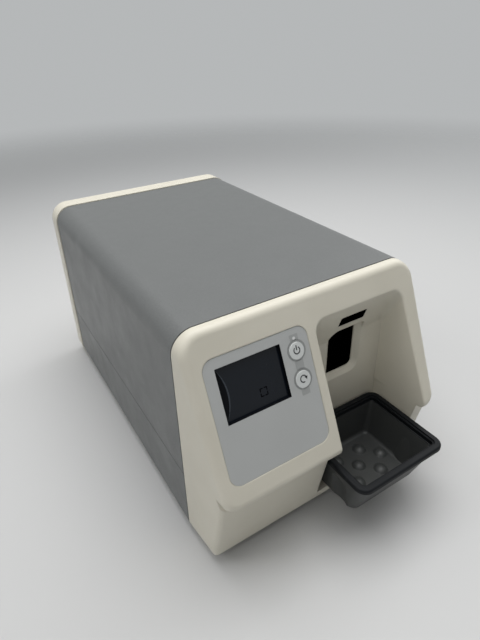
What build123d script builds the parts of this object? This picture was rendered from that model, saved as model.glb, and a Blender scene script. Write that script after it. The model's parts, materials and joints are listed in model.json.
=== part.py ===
from build123d import *
import os
from math import atan, cos, degrees, radians, sin

# Phosphor plate scanner, in millimetres. +X is to the right of the user, -Y is the front, +Z is up.
# Every piece is drawn with the seam behind the bezel at y = 0 and the underside of the housing at
# z = 0. The finished pieces are moved together, so that the origin is the middle of the footprint.

# Widths across the front, from left to right
LEFT_MARGIN = 12.0
PANEL_WIDTH = 81.5
PILLAR_WIDTH = 7.8
RECESS_WIDTH = 86.6
RIGHT_POST = 17.1
BODY_WIDTH = LEFT_MARGIN + PANEL_WIDTH + PILLAR_WIDTH + RECESS_WIDTH + RIGHT_POST
HALF = BODY_WIDTH / 2

# Walls and gaps
WALL = 2.8
SHEET = 1.5
SEAM_GAP = 0.9
SLIDE_GAP = 0.3
KEY_GAP = 0.3
RUNNING_GAP = 0.05
FIT_GAP = 0.02

# Collector tray
TRAY_WIDTH = 86.5
TRAY_DEPTH = 77.0
TRAY_HEIGHT = 41.3
TRAY_WALL = 2.4
TRAY_RIM_WIDTH = 6.2
TRAY_RIM_HEIGHT = 5.0
TRAY_CORNER = 9.0
TRAY_SIDE_LEAN = 7.2
TRAY_FRONT_LEAN = 15.0
TRAY_BACK_LEAN = 3.0
TRAY_TRAVEL = 70.0
BUMP_RADIUS = 5.8
BUMP_HEIGHT = 3.0
BUMP_PITCH = 25.0
SCOOP_RADIUS = 17.0
SCOOP_DEPTH = 4.0
SCOOP_TOP_DROP = 7.0
SCOOP_BACK = 48.0
BAY_GAP = 1.6
RAIL_HEIGHT = 4.0
RAIL_REACH = 1.2

# Heights up the front
BAY_FLOOR = 9.5
RIM_TOP = BAY_FLOOR + SLIDE_GAP + TRAY_HEIGHT
CHIN_GAP = 10.9
CHIN_HEIGHT = RIM_TOP + CHIN_GAP
PANEL_TOP_MARGIN = 18.6
PANEL_HEIGHT = 85.6
PANEL_BOTTOM_MARGIN = 20.0
FACE_LENGTH = PANEL_TOP_MARGIN + PANEL_HEIGHT + PANEL_BOTTOM_MARGIN
RAKE = 24.0
RAKE_SIN = sin(radians(RAKE))
RAKE_COS = cos(radians(RAKE))
HOUSING_HEIGHT = CHIN_HEIGHT + FACE_LENGTH * RAKE_COS
BASE_WALL_HEIGHT = 54.7
FOOT_HEIGHT = 10.0

# Bezel form
TOP_STRIP = 7.0
SIDE_TAPER = 0.084
PLINTH_SETBACK = 35.0
PLINTH_LEAN = 0.2
TOP_CORNER = 16.4
BASE_CORNER = 3.0
CHIN_CORNER = 10.0
FACE_ROUNDING = 6.0
MOUTH_ROUNDING = 1.5
PLINTH_ROUNDING = 4.0
PANEL_CORNER = 8.5
FACE_FRONT = TOP_STRIP + FACE_LENGTH * RAKE_SIN

# Hand recess and plate opening
RECESS_BACK = 3.1
RECESS_TOP_MARGIN = 18.8
RECESS_CORNER = 10.0
RECESS_REAR_CORNER = 4.0
MOUTH_LIFT = 1.0
FLANK_RISE = 6.0
RECESS_DRAFT = 3.0
CEILING_REAR_RISE = 61.0
OPENING_WIDTH = 26.0
OPENING_HEIGHT = 39.6
OPENING_RISE = 36.5
OPENING_BEVEL = 4.5
OPENING_DEPTH = 4.1
SLOT_RISE = 10.0
SLOT_HEIGHT = 9.2
SLOT_CORNER = 1.2

# Overlay, display and keys, with s measured down the face from its top line
OVERLAY_POCKET = 0.8
OVERLAY_THICKNESS = 0.5
WINDOW_WIDTH = 49.8
WINDOW_HEIGHT = 37.6
WINDOW_LEFT_MARGIN = 8.4
WINDOW_TOP_MARGIN = 7.4
PANE_THICKNESS = 1.2
PANE_BORDER = 2.0
KEY_RADIUS = 6.1
KEY_RIGHT_MARGIN = 11.3
POWER_KEY_DROP = 16.4
KEY_PITCH = 20.5
KEY_TRAVEL = 0.8
KEY_PROUD = 0.5
KEY_FLANGE = 1.3
LED_RADIUS = 1.2
LED_DROP = 7.2
BOARD_DEPTH = 12.0
BOARD_THICKNESS = 1.6
POST_RADIUS = 3.0

# Screws, as shank and head radii
SMALL_SHANK = 1.0
MEDIUM_SHANK = 1.5
LARGE_SHANK = 2.0
SMALL_HEAD = 2.0
MEDIUM_HEAD = 2.9
LARGE_HEAD = 3.6
HEAD_HEIGHT = 2.2
BOSS_RADIUS = 4.5
BEZEL_SCREW_REACH = 8.0
REAR_SCREW_REACH = 6.0
DRIVE_SLOT = (4.0, 0.8)
DRIVE_SLOT_DEPTH = 0.8

# Depth, from front to back
MAIN_BOARD_FRONT = 20.0
MAIN_BOARD_LENGTH = 140.0
MAIN_BOARD_WIDTH = 82.0
SUPPLY_GAP = 12.0
SUPPLY_LENGTH = 75.0
CONNECTOR_SPACE = 32.0
COVER_DEPTH = MAIN_BOARD_FRONT + MAIN_BOARD_LENGTH + SUPPLY_GAP + SUPPLY_LENGTH + CONNECTOR_SPACE
REAR_CAP_DEPTH = 22.0
REAR_CAP_PROUD = 0.8
REAR_ROUNDING = 5.0
REAR_SCREW_DEPTH = 12.0
VENT_WIDTH = 3.0
VENT_LENGTH = 18.0
VENT_PITCH = 7.0
VENT_ROW_PITCH = 24.0
VENT_TOP_MARGIN = 20.0
VENTS_EACH_SIDE = 10

# Connectors at the back
CONNECTOR_LEFT = 24.0
CONNECTOR_LOW = 18.0
CONNECTOR_WIDTH = 96.0
CONNECTOR_HEIGHT = 34.0
CONNECTOR_DEPTH = 20.0
FLANGE_WIDTH = 1.6
FLANGE_THICKNESS = 1.8
INLET_SIZE = (27.0, 20.0)
SWITCH_SIZE = (14.0, 20.0)
JACK_SIZE = (16.0, 13.5)
JACK_SOCKET = (12.0, 8.5)
INLET_OFFSET = 18.0
SWITCH_OFFSET = 50.0
JACK_OFFSET = CONNECTOR_WIDTH - 16.0
SOCKET_WALL = 1.5
SOCKET_DEPTH = 14.0
ROCKER_SWING = 16.0
ROCKER_PIN_RADIUS = 1.0

# Rubber feet
FOOT_RADIUS = 12.5
FOOT_SIDE_INSET = 22.0
FOOT_FRONT_INSET = 16.0
FOOT_BACK_INSET = 30.0
FOOT_SEAT = 3.0

# Shutter behind the plate opening
LINER_WALL = 1.5
LINER_GAP = 0.4
SNOUT_WALL = 1.0
CEILING_GAP = 0.4
SHUTTER_SETBACK = 12.0
SHUTTER_THICKNESS = 1.5
SHUTTER_PIN_RADIUS = 1.0
SHUTTER_BARREL = 2.2

# Plate transport
BRACKET_FRONT = 22.0
BRACKET_WIDTH = 62.0
BRACKET_THICKNESS = 3.0
CARRIAGE_LENGTH = 36.0
CARRIAGE_WIDTH = 48.0
CARRIAGE_HEIGHT = 20.0
CARRIAGE_START = 20.0
CARRIAGE_TRAVEL = 110.0
ROD_RADIUS = 3.0
ROD_SPREAD = 36.0
SCREW_RADIUS = 4.0
SCREW_DROP = 44.0
NUT_RADIUS = 8.0
PLATE_HEIGHT = 31.0
PLATE_LENGTH = 41.0
PLATE_THICKNESS = 1.3
HOLDER_THICKNESS = 2.0
HOLDER_FOOT = 12.0
MOTOR_SIZE = 35.0
MOTOR_LENGTH = 30.0
MOTOR_SHAFT_RADIUS = 2.5
COUPLING_RADIUS = 9.0
COUPLING_LENGTH = 18.0
BEARING_RADIUS = 8.0

# Optics on the bench
BENCH_THICKNESS = 6.0
BENCH_LENGTH = 118.0
BENCH_FRONT = 56.0
BENCH_GAP = 2.0
LEG_RADIUS = 5.0
SCAN_PLANE_DEPTH = 52.0
POLYGON_OFFSET = 40.0
POLYGON_RADIUS = 17.0
POLYGON_THICKNESS = 8.0
POLYGON_HUB = 3.0
POLYGON_MOTOR_RADIUS = 15.0
POLYGON_MOTOR_LENGTH = 9.0
WALL_GAP = 14.0
LENS_GAP = 34.0
LENS_THICKNESS = 7.0
LENS_HEIGHT = 36.0
LENS_WIDTH = 10.0
LASER_RADIUS = 6.0
LASER_LENGTH = 34.0
TUBE_RADIUS = 14.0
TUBE_LENGTH = 76.0
GUIDE_GAP = 7.0
GUIDE_THICKNESS = 6.0

# Electronics
BOARD_STANDOFF = 7.0
STANDOFF_RADIUS = 3.0
SUPPLY_WIDTH = 70.0
SUPPLY_HEIGHT = 42.0
ERASER_LENGTH = 64.0
ERASER_FOOT = 14.0
PROCESSOR_SIZE = 24.0
PROCESSOR_START = 50.0
CHIP_HEIGHT = 2.5
MEMORY_SIZE = (16.0, 12.0)
MEMORY_START = 84.0
PLUG_SIZE = (8.0, 12.0)
PLUG_HEIGHT = 8.0
PLUG_STARTS = (14.0, 30.0)
CAPACITOR_RADIUS = 5.0
CAPACITOR_HEIGHT = 14.0
CAPACITOR_INSET = 16.0
CAPACITOR_STARTS = (20.0, 34.0, 48.0)

BIG = 400.0

# Places worked out from the sizes above
BOARD_LEFT = -HALF + SHEET + 13.0
PANEL_LEFT = -HALF + LEFT_MARGIN
PANEL_RIGHT = PANEL_LEFT + PANEL_WIDTH
RECESS_LEFT = PANEL_RIGHT + PILLAR_WIDTH
RECESS_RIGHT = RECESS_LEFT + RECESS_WIDTH
PLATE_X = (RECESS_LEFT + RECESS_RIGHT) / 2
TRAY_RIGHT = RECESS_RIGHT - RECESS_DRAFT - 0.9
TRAY_LEFT = TRAY_RIGHT - TRAY_WIDTH
TRAY_CENTRE = (TRAY_LEFT + TRAY_RIGHT) / 2
TRAY_BACK = -RECESS_BACK - 1.3
TRAY_FRONT = TRAY_BACK - TRAY_DEPTH
TRAY_BOTTOM = BAY_FLOOR + SLIDE_GAP
OPENING_LOW = RIM_TOP + OPENING_RISE
OPENING_HIGH = OPENING_LOW + OPENING_HEIGHT
PLATE_Z = (OPENING_LOW + OPENING_HIGH) / 2
SLOT_LOW = OPENING_HIGH + SLOT_RISE
SLOT_HIGH = SLOT_LOW + SLOT_HEIGHT
CEILING_REAR = CHIN_HEIGHT + CEILING_REAR_RISE
LINER_FRONT = OPENING_DEPTH - RECESS_BACK + LINER_GAP
WINDOW_X = PANEL_LEFT + WINDOW_LEFT_MARGIN + WINDOW_WIDTH / 2
WINDOW_S = PANEL_TOP_MARGIN + WINDOW_TOP_MARGIN + WINDOW_HEIGHT / 2
KEY_X = PANEL_RIGHT - KEY_RIGHT_MARGIN
POWER_S = PANEL_TOP_MARGIN + POWER_KEY_DROP
RETURN_S = POWER_S + KEY_PITCH
LED_S = PANEL_TOP_MARGIN + LED_DROP
SCREW_Z = PLATE_Z - SCREW_DROP
CARRIAGE_TOP = SCREW_Z + CARRIAGE_HEIGHT / 2
SHUTTER_X = PLATE_X - OPENING_WIDTH / 2 + SHUTTER_BARREL + SLIDE_GAP
SHUTTER_Y = LINER_FRONT + SHUTTER_SETBACK
SHUTTER_LENGTH = OPENING_WIDTH - SHUTTER_BARREL - 3 * SLIDE_GAP
LINER_BACK = SHUTTER_Y + SHUTTER_LENGTH + 2.0
CARRIAGE_FRONT = BRACKET_FRONT + CARRIAGE_START
BRACKET_BACK = CARRIAGE_FRONT + CARRIAGE_LENGTH + CARRIAGE_TRAVEL + 10.0
MOTOR_MOUNT = BRACKET_BACK + BRACKET_THICKNESS + COUPLING_LENGTH + 8.0
MOTOR_FRONT = MOTOR_MOUNT + BRACKET_THICKNESS
BRACKET_LEFT = PLATE_X - BRACKET_WIDTH / 2
BRACKET_RIGHT = PLATE_X + BRACKET_WIDTH / 2
BRACKET_TOP = SCREW_Z + 12.0
SCAN_Y = BENCH_FRONT + SCAN_PLANE_DEPTH
BENCH_LOW = CARRIAGE_TOP + BENCH_GAP
BENCH_TOP = BENCH_LOW + BENCH_THICKNESS
BENCH_LEFT = -HALF + SHEET + 2.0
BENCH_RIGHT = PLATE_X - 16.0
POLYGON_X = BENCH_LEFT + POLYGON_OFFSET
WALL_Y = SCAN_Y + WALL_GAP
BEAM_Z = PLATE_Z + POLYGON_RADIUS + 11.0
TUBE_X = PLATE_X - TUBE_RADIUS - 12.0
TUBE_FRONT = SCAN_Y + 4.0 + GUIDE_THICKNESS
BOARD_LOW = SHEET + BOARD_STANDOFF
SUPPLY_BACK = COVER_DEPTH - CONNECTOR_SPACE
REAR = COVER_DEPTH + SEAM_GAP + REAR_CAP_DEPTH
CENTRE_Y = (REAR + TRAY_FRONT) / 2

# The raked face: x as in the row, y up the face from its top line, z out of the face
FACE = Plane(
    origin=(0, -TOP_STRIP, HOUSING_HEIGHT), x_dir=(1, 0, 0), z_dir=(0, -RAKE_COS, RAKE_SIN)
)


def block(x, y, z):
    """Box between pairs of low and high bounds."""
    size = [high - low for low, high in (x, y, z)]
    middle = [(high + low) / 2 for low, high in (x, y, z)]
    return Pos(*middle) * Box(*size)


def bar_x(x, y, z, radius):
    """Round bar along X between the bounds x, through y and z."""
    return Pos((x[0] + x[1]) / 2, y, z) * Rot(0, 90, 0) * Cylinder(radius, x[1] - x[0])


def bar_y(x, y, z, radius):
    """Round bar along Y between the bounds y, through x and z."""
    return Pos(x, (y[0] + y[1]) / 2, z) * Rot(90, 0, 0) * Cylinder(radius, y[1] - y[0])


def bar_z(x, y, z, radius):
    """Round bar along Z between the bounds z, through x and y."""
    return Pos(x, y, (z[0] + z[1]) / 2) * Cylinder(radius, z[1] - z[0])


def upright(y):
    """Drawing plane across the housing at depth y, with X to the right and Z up."""
    return Plane(origin=(0, y, 0), x_dir=(1, 0, 0), z_dir=(0, -1, 0))


def level(z):
    """Drawing plane at height z, with X to the right and Y to the back."""
    return Plane(origin=(0, 0, z), x_dir=(1, 0, 0), z_dir=(0, 0, 1))


def outline(half_width, bottom, top, top_radius, bottom_radius):
    """Housing outline, with its own radius at the two upper and the two lower corners."""
    shape = Pos(0, (bottom + top) / 2) * Rectangle(2 * half_width, top - bottom)
    shape = fillet(shape.vertices().sort_by(Axis.Y)[2:], top_radius)
    return fillet(shape.vertices().sort_by(Axis.Y)[:2], bottom_radius)


def rounded_cut(plane, x, y, depth, radius):
    """Prism with rounded corners between bounds on a plane, from the plane along its normal."""
    middle = Pos((x[0] + x[1]) / 2, (y[0] + y[1]) / 2)
    shape = middle * RectangleRounded(x[1] - x[0], y[1] - y[0], radius)
    return extrude(plane * shape, depth)


def side_profile(points, half_width):
    """Prism across the housing from a profile of (y, z) points."""
    corners = [(0, y, z) for y, z in points]
    profile = make_face(Polyline(*corners, close=True))
    return extrude(profile, half_width, dir=(1, 0, 0), both=True)


def in_front_of_face(inset):
    """Everything in front of the raked face, once the face is moved back by inset."""
    return FACE * Pos(0, 0, BIG / 2 - inset) * Box(2 * BIG, 2 * BIG, BIG)


def half_at(y):
    """Half the bezel's width at depth y, which narrows towards the front."""
    return HALF + y * SIDE_TAPER


def bezel_block(inset, bottom, top, back):
    """Part of the bezel's tapered body between two heights, before its front is cut."""
    front = -FACE_FRONT - 5.0
    rear_half = half_at(back) - inset
    front_half = half_at(front) - inset
    corners = [
        (-rear_half, back, bottom),
        (rear_half, back, bottom),
        (front_half, front, bottom),
        (-front_half, front, bottom),
    ]
    return extrude(make_face(Polyline(*corners, close=True)), top - bottom, dir=(0, 0, 1))


def long_edges(body, z):
    """The two side edges of a bezel block at height z, which run from front to back."""
    return [
        e
        for e in body.edges()
        if abs(e.center().Z - z) < 0.01 and abs(e.center().X) > HALF * 0.8
    ]


def bezel_upper(inset, back):
    """The bezel above its chin, with the raked face."""
    bottom = CHIN_HEIGHT + inset
    top = HOUSING_HEIGHT - inset
    body = bezel_block(inset, bottom, top, back)
    body = fillet(long_edges(body, top), TOP_CORNER - inset)
    body = fillet(long_edges(body, bottom), CHIN_CORNER - inset)
    return body - in_front_of_face(inset)


def bezel_plinth(inset, back):
    """The bezel below its chin, whose front leans out as it rises."""
    top = CHIN_HEIGHT + CHIN_CORNER + 2.0
    body = bezel_block(inset, inset, top, back)
    lean = inset * (1 + PLINTH_LEAN**2) ** 0.5
    foot = -PLINTH_SETBACK + lean
    head = foot - top * PLINTH_LEAN
    knee = foot - CHIN_HEIGHT * PLINTH_LEAN
    body = body & side_profile([(back, 0), (foot, 0), (head, top), (back, top)], BIG / 2)
    corners = [
        e
        for e in body.edges()
        if abs(e.center().X) > HALF * 0.9 and e.center().Y < foot and e.length > top / 2
    ]
    body = fillet(corners, PLINTH_ROUNDING)
    body = fillet(long_edges(body, inset), BASE_CORNER)
    shoulder = [(head - 1.0, CHIN_HEIGHT), (knee, CHIN_HEIGHT), (knee + 8.0, top), (head - 1.0, top)]
    return body - side_profile(shoulder, BIG / 2)


def recess_void(grow):
    """Hand recess and tray bay, as one empty space that can be grown by a wall."""
    back_left = RECESS_LEFT + RECESS_DRAFT - grow
    back_right = RECESS_RIGHT - RECESS_DRAFT + grow
    low = CHIN_HEIGHT - 3.0
    high = CEILING_REAR + grow
    rear = rounded_outline((back_left, back_right), (low, high), RECESS_REAR_CORNER)
    mouth_top = -RECESS_TOP_MARGIN + grow
    mouth_low = -FACE_LENGTH - 8.0
    mouth_x = (RECESS_LEFT - grow, RECESS_RIGHT + grow)
    mouth = rounded_outline(mouth_x, (mouth_low, mouth_top), RECESS_CORNER)
    hand_space = loft([upright(-RECESS_BACK + grow) * rear, face_plane(MOUTH_LIFT) * mouth])
    bay = block(
        (TRAY_LEFT - BAY_GAP - grow, TRAY_RIGHT + BAY_GAP + grow),
        (-BIG / 4, -RECESS_BACK + grow),
        (BAY_FLOOR - grow, CHIN_HEIGHT + grow),
    )
    return hand_space + bay


def recess_flank(grow):
    """Lower right side of the recess, whose wall runs straight down to the tray's rim."""
    low = RIM_TOP - TRAY_RIM_HEIGHT - grow
    high = CHIN_HEIGHT + FLANK_RISE
    rear_x = (PLATE_X, RECESS_RIGHT - RECESS_DRAFT + grow)
    mouth_x = (PLATE_X, RECESS_RIGHT + grow)
    mouth_low = -FACE_LENGTH - (CHIN_HEIGHT - low) / RAKE_COS
    mouth_high = -FACE_LENGTH + FLANK_RISE / RAKE_COS
    rear = plain_outline(rear_x, (low, high))
    mouth = plain_outline(mouth_x, (mouth_low, mouth_high))
    return loft([upright(-RECESS_BACK) * rear, face_plane(MOUTH_LIFT) * mouth])


def plain_outline(x, y):
    """Rectangle between bounds."""
    return Pos((x[0] + x[1]) / 2, (y[0] + y[1]) / 2) * Rectangle(x[1] - x[0], y[1] - y[0])


def rounded_outline(x, y, radius):
    """Rectangle with rounded corners between bounds."""
    middle = Pos((x[0] + x[1]) / 2, (y[0] + y[1]) / 2)
    return middle * RectangleRounded(x[1] - x[0], y[1] - y[0], radius)


def opening_outline(grow):
    """Plate opening: two opposite corners are well rounded and the other two nearly square."""
    left = PLATE_X - OPENING_WIDTH / 2 - grow
    right = PLATE_X + OPENING_WIDTH / 2 + grow
    low = OPENING_LOW - grow
    high = OPENING_HIGH + grow
    shape = Pos((left + right) / 2, (low + high) / 2) * Rectangle(right - left, high - low)
    round_corners = [
        v for v in shape.vertices() if (v.X < PLATE_X) == (v.Y > PLATE_Z)
    ]
    shape = fillet(round_corners, 5.0 + grow)
    square_corners = [
        v
        for v in shape.vertices()
        if min(abs(v.X - left), abs(v.X - right)) < 0.01
        and min(abs(v.Y - low), abs(v.Y - high)) < 0.01
    ]
    return fillet(square_corners, 1.2 + grow / 2)


def opening_cuts():
    """Bevelled plate opening through the recess wall, and the narrow slot above it."""
    rim = opening_outline(OPENING_BEVEL)
    throat = opening_outline(0)
    bevel = loft([upright(-RECESS_BACK) * rim, upright(OPENING_DEPTH - RECESS_BACK) * throat])
    lead = extrude(upright(-RECESS_BACK) * rim, 8.0)
    through = extrude(upright(LINER_FRONT + 1.0) * throat, LINER_FRONT + RECESS_BACK)
    slot = rounded_cut(
        upright(LINER_FRONT + 1.0),
        (PLATE_X - OPENING_WIDTH / 2, PLATE_X + OPENING_WIDTH / 2),
        (SLOT_LOW, SLOT_HIGH),
        LINER_FRONT + 20.0,
        SLOT_CORNER,
    )
    return bevel + lead + through + slot


def board_post_places():
    """Points on the face, in its own x and y, of the posts that carry the display board."""
    x_inset = 2.0
    y_low = -(WINDOW_S + WINDOW_HEIGHT / 2 + 12.0)
    y_high = -(PANEL_TOP_MARGIN - 4.0)
    return [
        (x, y) for x in (PANEL_LEFT + x_inset, PANEL_RIGHT - x_inset) for y in (y_low, y_high)
    ]


def ear_screw_places():
    """Points (x, z) of the screws that join the chassis ears to the bezel and the rear cap."""
    return [(x, z) for x in (-HALF + 9.0, HALF - 9.0) for z in (12.0, BASE_WALL_HEIGHT - 12.0)]


def bezel_body():
    """Outside of the bezel as one solid, with its front edges rounded."""
    upper = bezel_upper(0, 0)
    front_edges = upper.faces().sort_by(Axis(FACE.origin, FACE.z_dir))[-1].edges()
    return fillet(front_edges, FACE_ROUNDING) + bezel_plinth(0, 0)


def mouth_edges(body):
    """Edges of the hand recess that lie on the raked face."""

    def height(point):
        return abs((point - FACE.origin).dot(FACE.z_dir))

    return [
        e
        for e in body.edges()
        if e.geom_type == GeomType.BSPLINE
        and RECESS_LEFT - 1.0 < e.center().X < RECESS_RIGHT + 1.0
        and height(e.center()) < 0.02
        and all(height(v.center()) < 0.02 for v in e.vertices())
    ]


def front_bezel():
    beyond = 10.0
    embed = 2.0
    cavity = bezel_upper(WALL, beyond) + bezel_plinth(WALL, beyond)
    cavity = cavity - recess_void(WALL) - recess_flank(WALL)
    boss_x = (PLATE_X - OPENING_WIDTH / 2 - 8.0, PLATE_X + OPENING_WIDTH / 2 + 8.0)
    boss_z = (OPENING_LOW - 8.0, SLOT_HIGH + 6.0)
    cavity = cavity - block(boss_x, (-TOP_STRIP - 8.0, LINER_FRONT), boss_z)
    for x, z in ear_screw_places():
        cavity = cavity - bar_y(x, (-PLINTH_SETBACK, SEAM_GAP), z, BOSS_RADIUS)
    for x, y in board_post_places():
        cavity = cavity - on_face(x, -y, -BOARD_DEPTH, 0, POST_RADIUS)
    shell = bezel_body() - cavity
    shell = shell + block(boss_x, (-embed, LINER_FRONT), boss_z)
    for x, z in ear_screw_places():
        shell = shell + bar_y(x, (-embed, SEAM_GAP), z, BOSS_RADIUS)
    shell = shell - recess_void(0)
    shell = fillet(mouth_edges(shell), MOUTH_ROUNDING) - opening_cuts() - recess_flank(0)
    rail_y = (-PLINTH_SETBACK + embed, -RECESS_BACK)
    rail_top = RIM_TOP - TRAY_RIM_HEIGHT - SLIDE_GAP
    rail_z = (rail_top - RAIL_HEIGHT, rail_top)
    rail_out = BAY_GAP + embed / 2
    shell = shell + block((TRAY_LEFT - rail_out, TRAY_LEFT + RAIL_REACH), rail_y, rail_z)
    shell = shell + block((TRAY_RIGHT - RAIL_REACH, TRAY_RIGHT + rail_out), rail_y, rail_z)
    shell = shell - panel_prism(0, -OVERLAY_POCKET, WALL) - window_cut(WALL + 1.0)
    for s in (POWER_S, RETURN_S):
        shell = shell - on_face(KEY_X, s, -2 * WALL, WALL, KEY_RADIUS + KEY_FLANGE + 0.6)
    shell = shell - on_face(KEY_X, LED_S, -2 * WALL, WALL, LED_RADIUS + 1.4)
    for x, z in ear_screw_places():
        shell = shell - bar_y(x, (-12.0, SEAM_GAP + 1.0), z, MEDIUM_SHANK)
    for x, y in board_post_places():
        shell = shell - on_face(x, -y, -BOARD_DEPTH - 1.0, -BOARD_DEPTH + 6.5, SMALL_SHANK)
    return shell


def face_plane(lift):
    """The raked face moved out along its normal by lift."""
    return Plane(origin=FACE.origin + FACE.z_dir * lift, x_dir=FACE.x_dir, z_dir=FACE.z_dir)


def on_face(x, s, low, high, radius):
    """Round bar square to the face, s below its top line, between two heights above the face."""
    return FACE * Pos(x, -s, (low + high) / 2) * Cylinder(radius, high - low)


def face_box(x, s, z):
    """Box square to the face, between bounds along it, down it and above it."""
    return FACE * block(x, (-s[1], -s[0]), z)


def panel_prism(gap, low, high):
    """Rounded prism of the overlay's outline, made smaller by a gap."""
    x = (PANEL_LEFT + gap, PANEL_RIGHT - gap)
    y = (-PANEL_TOP_MARGIN - PANEL_HEIGHT + gap, -PANEL_TOP_MARGIN - gap)
    return rounded_cut(face_plane(low), x, y, high - low, PANEL_CORNER - gap)


def window_cut(depth):
    """Prism of the display window, from depth under the face outwards."""
    place = FACE * Pos(WINDOW_X, -WINDOW_S, 0)
    return place * Box(WINDOW_WIDTH, WINDOW_HEIGHT, 2 * depth)


def keypad_overlay():
    low = -OVERLAY_POCKET
    sheet = panel_prism(0.2, low, low + OVERLAY_THICKNESS) - window_cut(WALL)
    for s in (POWER_S, RETURN_S):
        sheet = sheet - on_face(KEY_X, s, -WALL, WALL, KEY_RADIUS + KEY_GAP)
    return sheet - on_face(KEY_X, LED_S, -WALL, WALL, LED_RADIUS + FIT_GAP)


def display_window():
    """Dark pane behind the face wall, a border wider than the window."""
    x = (WINDOW_X - WINDOW_WIDTH / 2 - PANE_BORDER, WINDOW_X + WINDOW_WIDTH / 2 + PANE_BORDER)
    s = (WINDOW_S - WINDOW_HEIGHT / 2 - PANE_BORDER, WINDOW_S + WINDOW_HEIGHT / 2 + PANE_BORDER)
    return face_box(x, s, (-WALL - PANE_THICKNESS, -WALL))


def display_module():
    """Display with its metal frame, between the pane and its board."""
    x = (WINDOW_X - WINDOW_WIDTH / 2 - 4.0, WINDOW_X + WINDOW_WIDTH / 2 + 4.0)
    s = (WINDOW_S - WINDOW_HEIGHT / 2 - 4.0, WINDOW_S + WINDOW_HEIGHT / 2 + 4.0)
    return face_box(x, s, (-BOARD_DEPTH, -WALL - PANE_THICKNESS))


def display_board():
    """Circuit board behind the overlay, on four posts of the bezel."""
    places = board_post_places()
    x = (places[0][0] - POST_RADIUS, places[-1][0] + POST_RADIUS)
    s = (-places[-1][1] - POST_RADIUS, -places[0][1] + POST_RADIUS)
    board = face_box(x, s, (-BOARD_DEPTH - BOARD_THICKNESS, -BOARD_DEPTH))
    for px, py in places:
        board = board - on_face(px, -py, -BOARD_DEPTH - 3.0, -BOARD_DEPTH + 1.0, SMALL_SHANK + 0.3)
    return board


def display_screws():
    """Pan head screws through the display board into its posts."""
    back = -BOARD_DEPTH - BOARD_THICKNESS
    screws = []
    for x, y in board_post_places():
        head = on_face(x, -y, back - HEAD_HEIGHT, back, SMALL_HEAD)
        shank = on_face(x, -y, back, back + 6.0, SMALL_SHANK - FIT_GAP)
        screws.append(head + shank)
    return Compound(screws)


def key_switches():
    """Two push switches on the display board, drawn with their plungers pressed."""
    switches = []
    for s in (POWER_S, RETURN_S):
        body = face_box((KEY_X - 3.0, KEY_X + 3.0), (s - 3.0, s + 3.0), (-BOARD_DEPTH, -BOARD_DEPTH + 3.5))
        plunger = on_face(KEY_X, s, -BOARD_DEPTH + 3.5, -BOARD_DEPTH + 4.5, 1.7)
        switches.append(body + plunger)
    return Compound(switches)


def key_cap(s):
    """Round key with a flange behind the overlay and a stem above its switch."""
    flange_top = -OVERLAY_POCKET - 0.1
    flange_low = flange_top - 0.8
    stem_low = -BOARD_DEPTH + 4.5 + KEY_TRAVEL + 0.1
    crown = on_face(KEY_X, s, flange_top, KEY_PROUD - OVERLAY_POCKET + OVERLAY_THICKNESS, KEY_RADIUS)
    crown = fillet(crown.faces().sort_by(Axis(FACE.origin, FACE.z_dir))[-1].edges(), 0.4)
    flange = on_face(KEY_X, s, flange_low, flange_top, KEY_RADIUS + KEY_FLANGE)
    stem = on_face(KEY_X, s, stem_low, flange_low, 2.4)
    return crown + flange + stem


def power_key():
    return key_cap(POWER_S)


def return_key():
    return key_cap(RETURN_S)


def status_light():
    """Light pipe from the display board to the overlay's small hole."""
    top = -OVERLAY_POCKET + OVERLAY_THICKNESS
    pipe = on_face(KEY_X, LED_S, -BOARD_DEPTH, top, LED_RADIUS)
    return pipe + on_face(KEY_X, LED_S, -BOARD_DEPTH, -BOARD_DEPTH + 4.0, LED_RADIUS + 0.9)


def tray_outline(z, grow):
    """Outline of the tray's outside at height z above its underside, made larger by grow."""
    share = 1 - z / TRAY_HEIGHT
    left = TRAY_LEFT + TRAY_SIDE_LEAN * share - grow
    right = TRAY_RIGHT - TRAY_SIDE_LEAN * share + grow
    front = TRAY_FRONT + TRAY_FRONT_LEAN * share - grow
    back = TRAY_BACK - TRAY_BACK_LEAN * share + grow
    radius = TRAY_CORNER + grow
    return level(TRAY_BOTTOM + z) * rounded_outline((left, right), (front, back), radius)


def scoop(side, grow):
    """Finger scoop in a side wall of the tray: a round-topped groove that leans with the wall."""
    lean = degrees(atan(TRAY_SIDE_LEAN / TRAY_HEIGHT))
    top = TRAY_HEIGHT - SCOOP_TOP_DROP - 8.0
    wall_x = TRAY_SIDE_LEAN * (1 - top / TRAY_HEIGHT)
    edge = TRAY_LEFT + wall_x if side < 0 else TRAY_RIGHT - wall_x
    x = edge + side * (SCOOP_RADIUS - SCOOP_DEPTH)
    y = TRAY_BACK - SCOOP_BACK
    tool = Pos(0, 0, -TRAY_HEIGHT) * Cylinder(SCOOP_RADIUS + grow, 2 * TRAY_HEIGHT)
    tool = tool + Sphere(SCOOP_RADIUS + grow)
    return Pos(x, y, TRAY_BOTTOM + top - SCOOP_RADIUS * 0.35) * Rot(0, side * lean, 0) * tool


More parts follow.
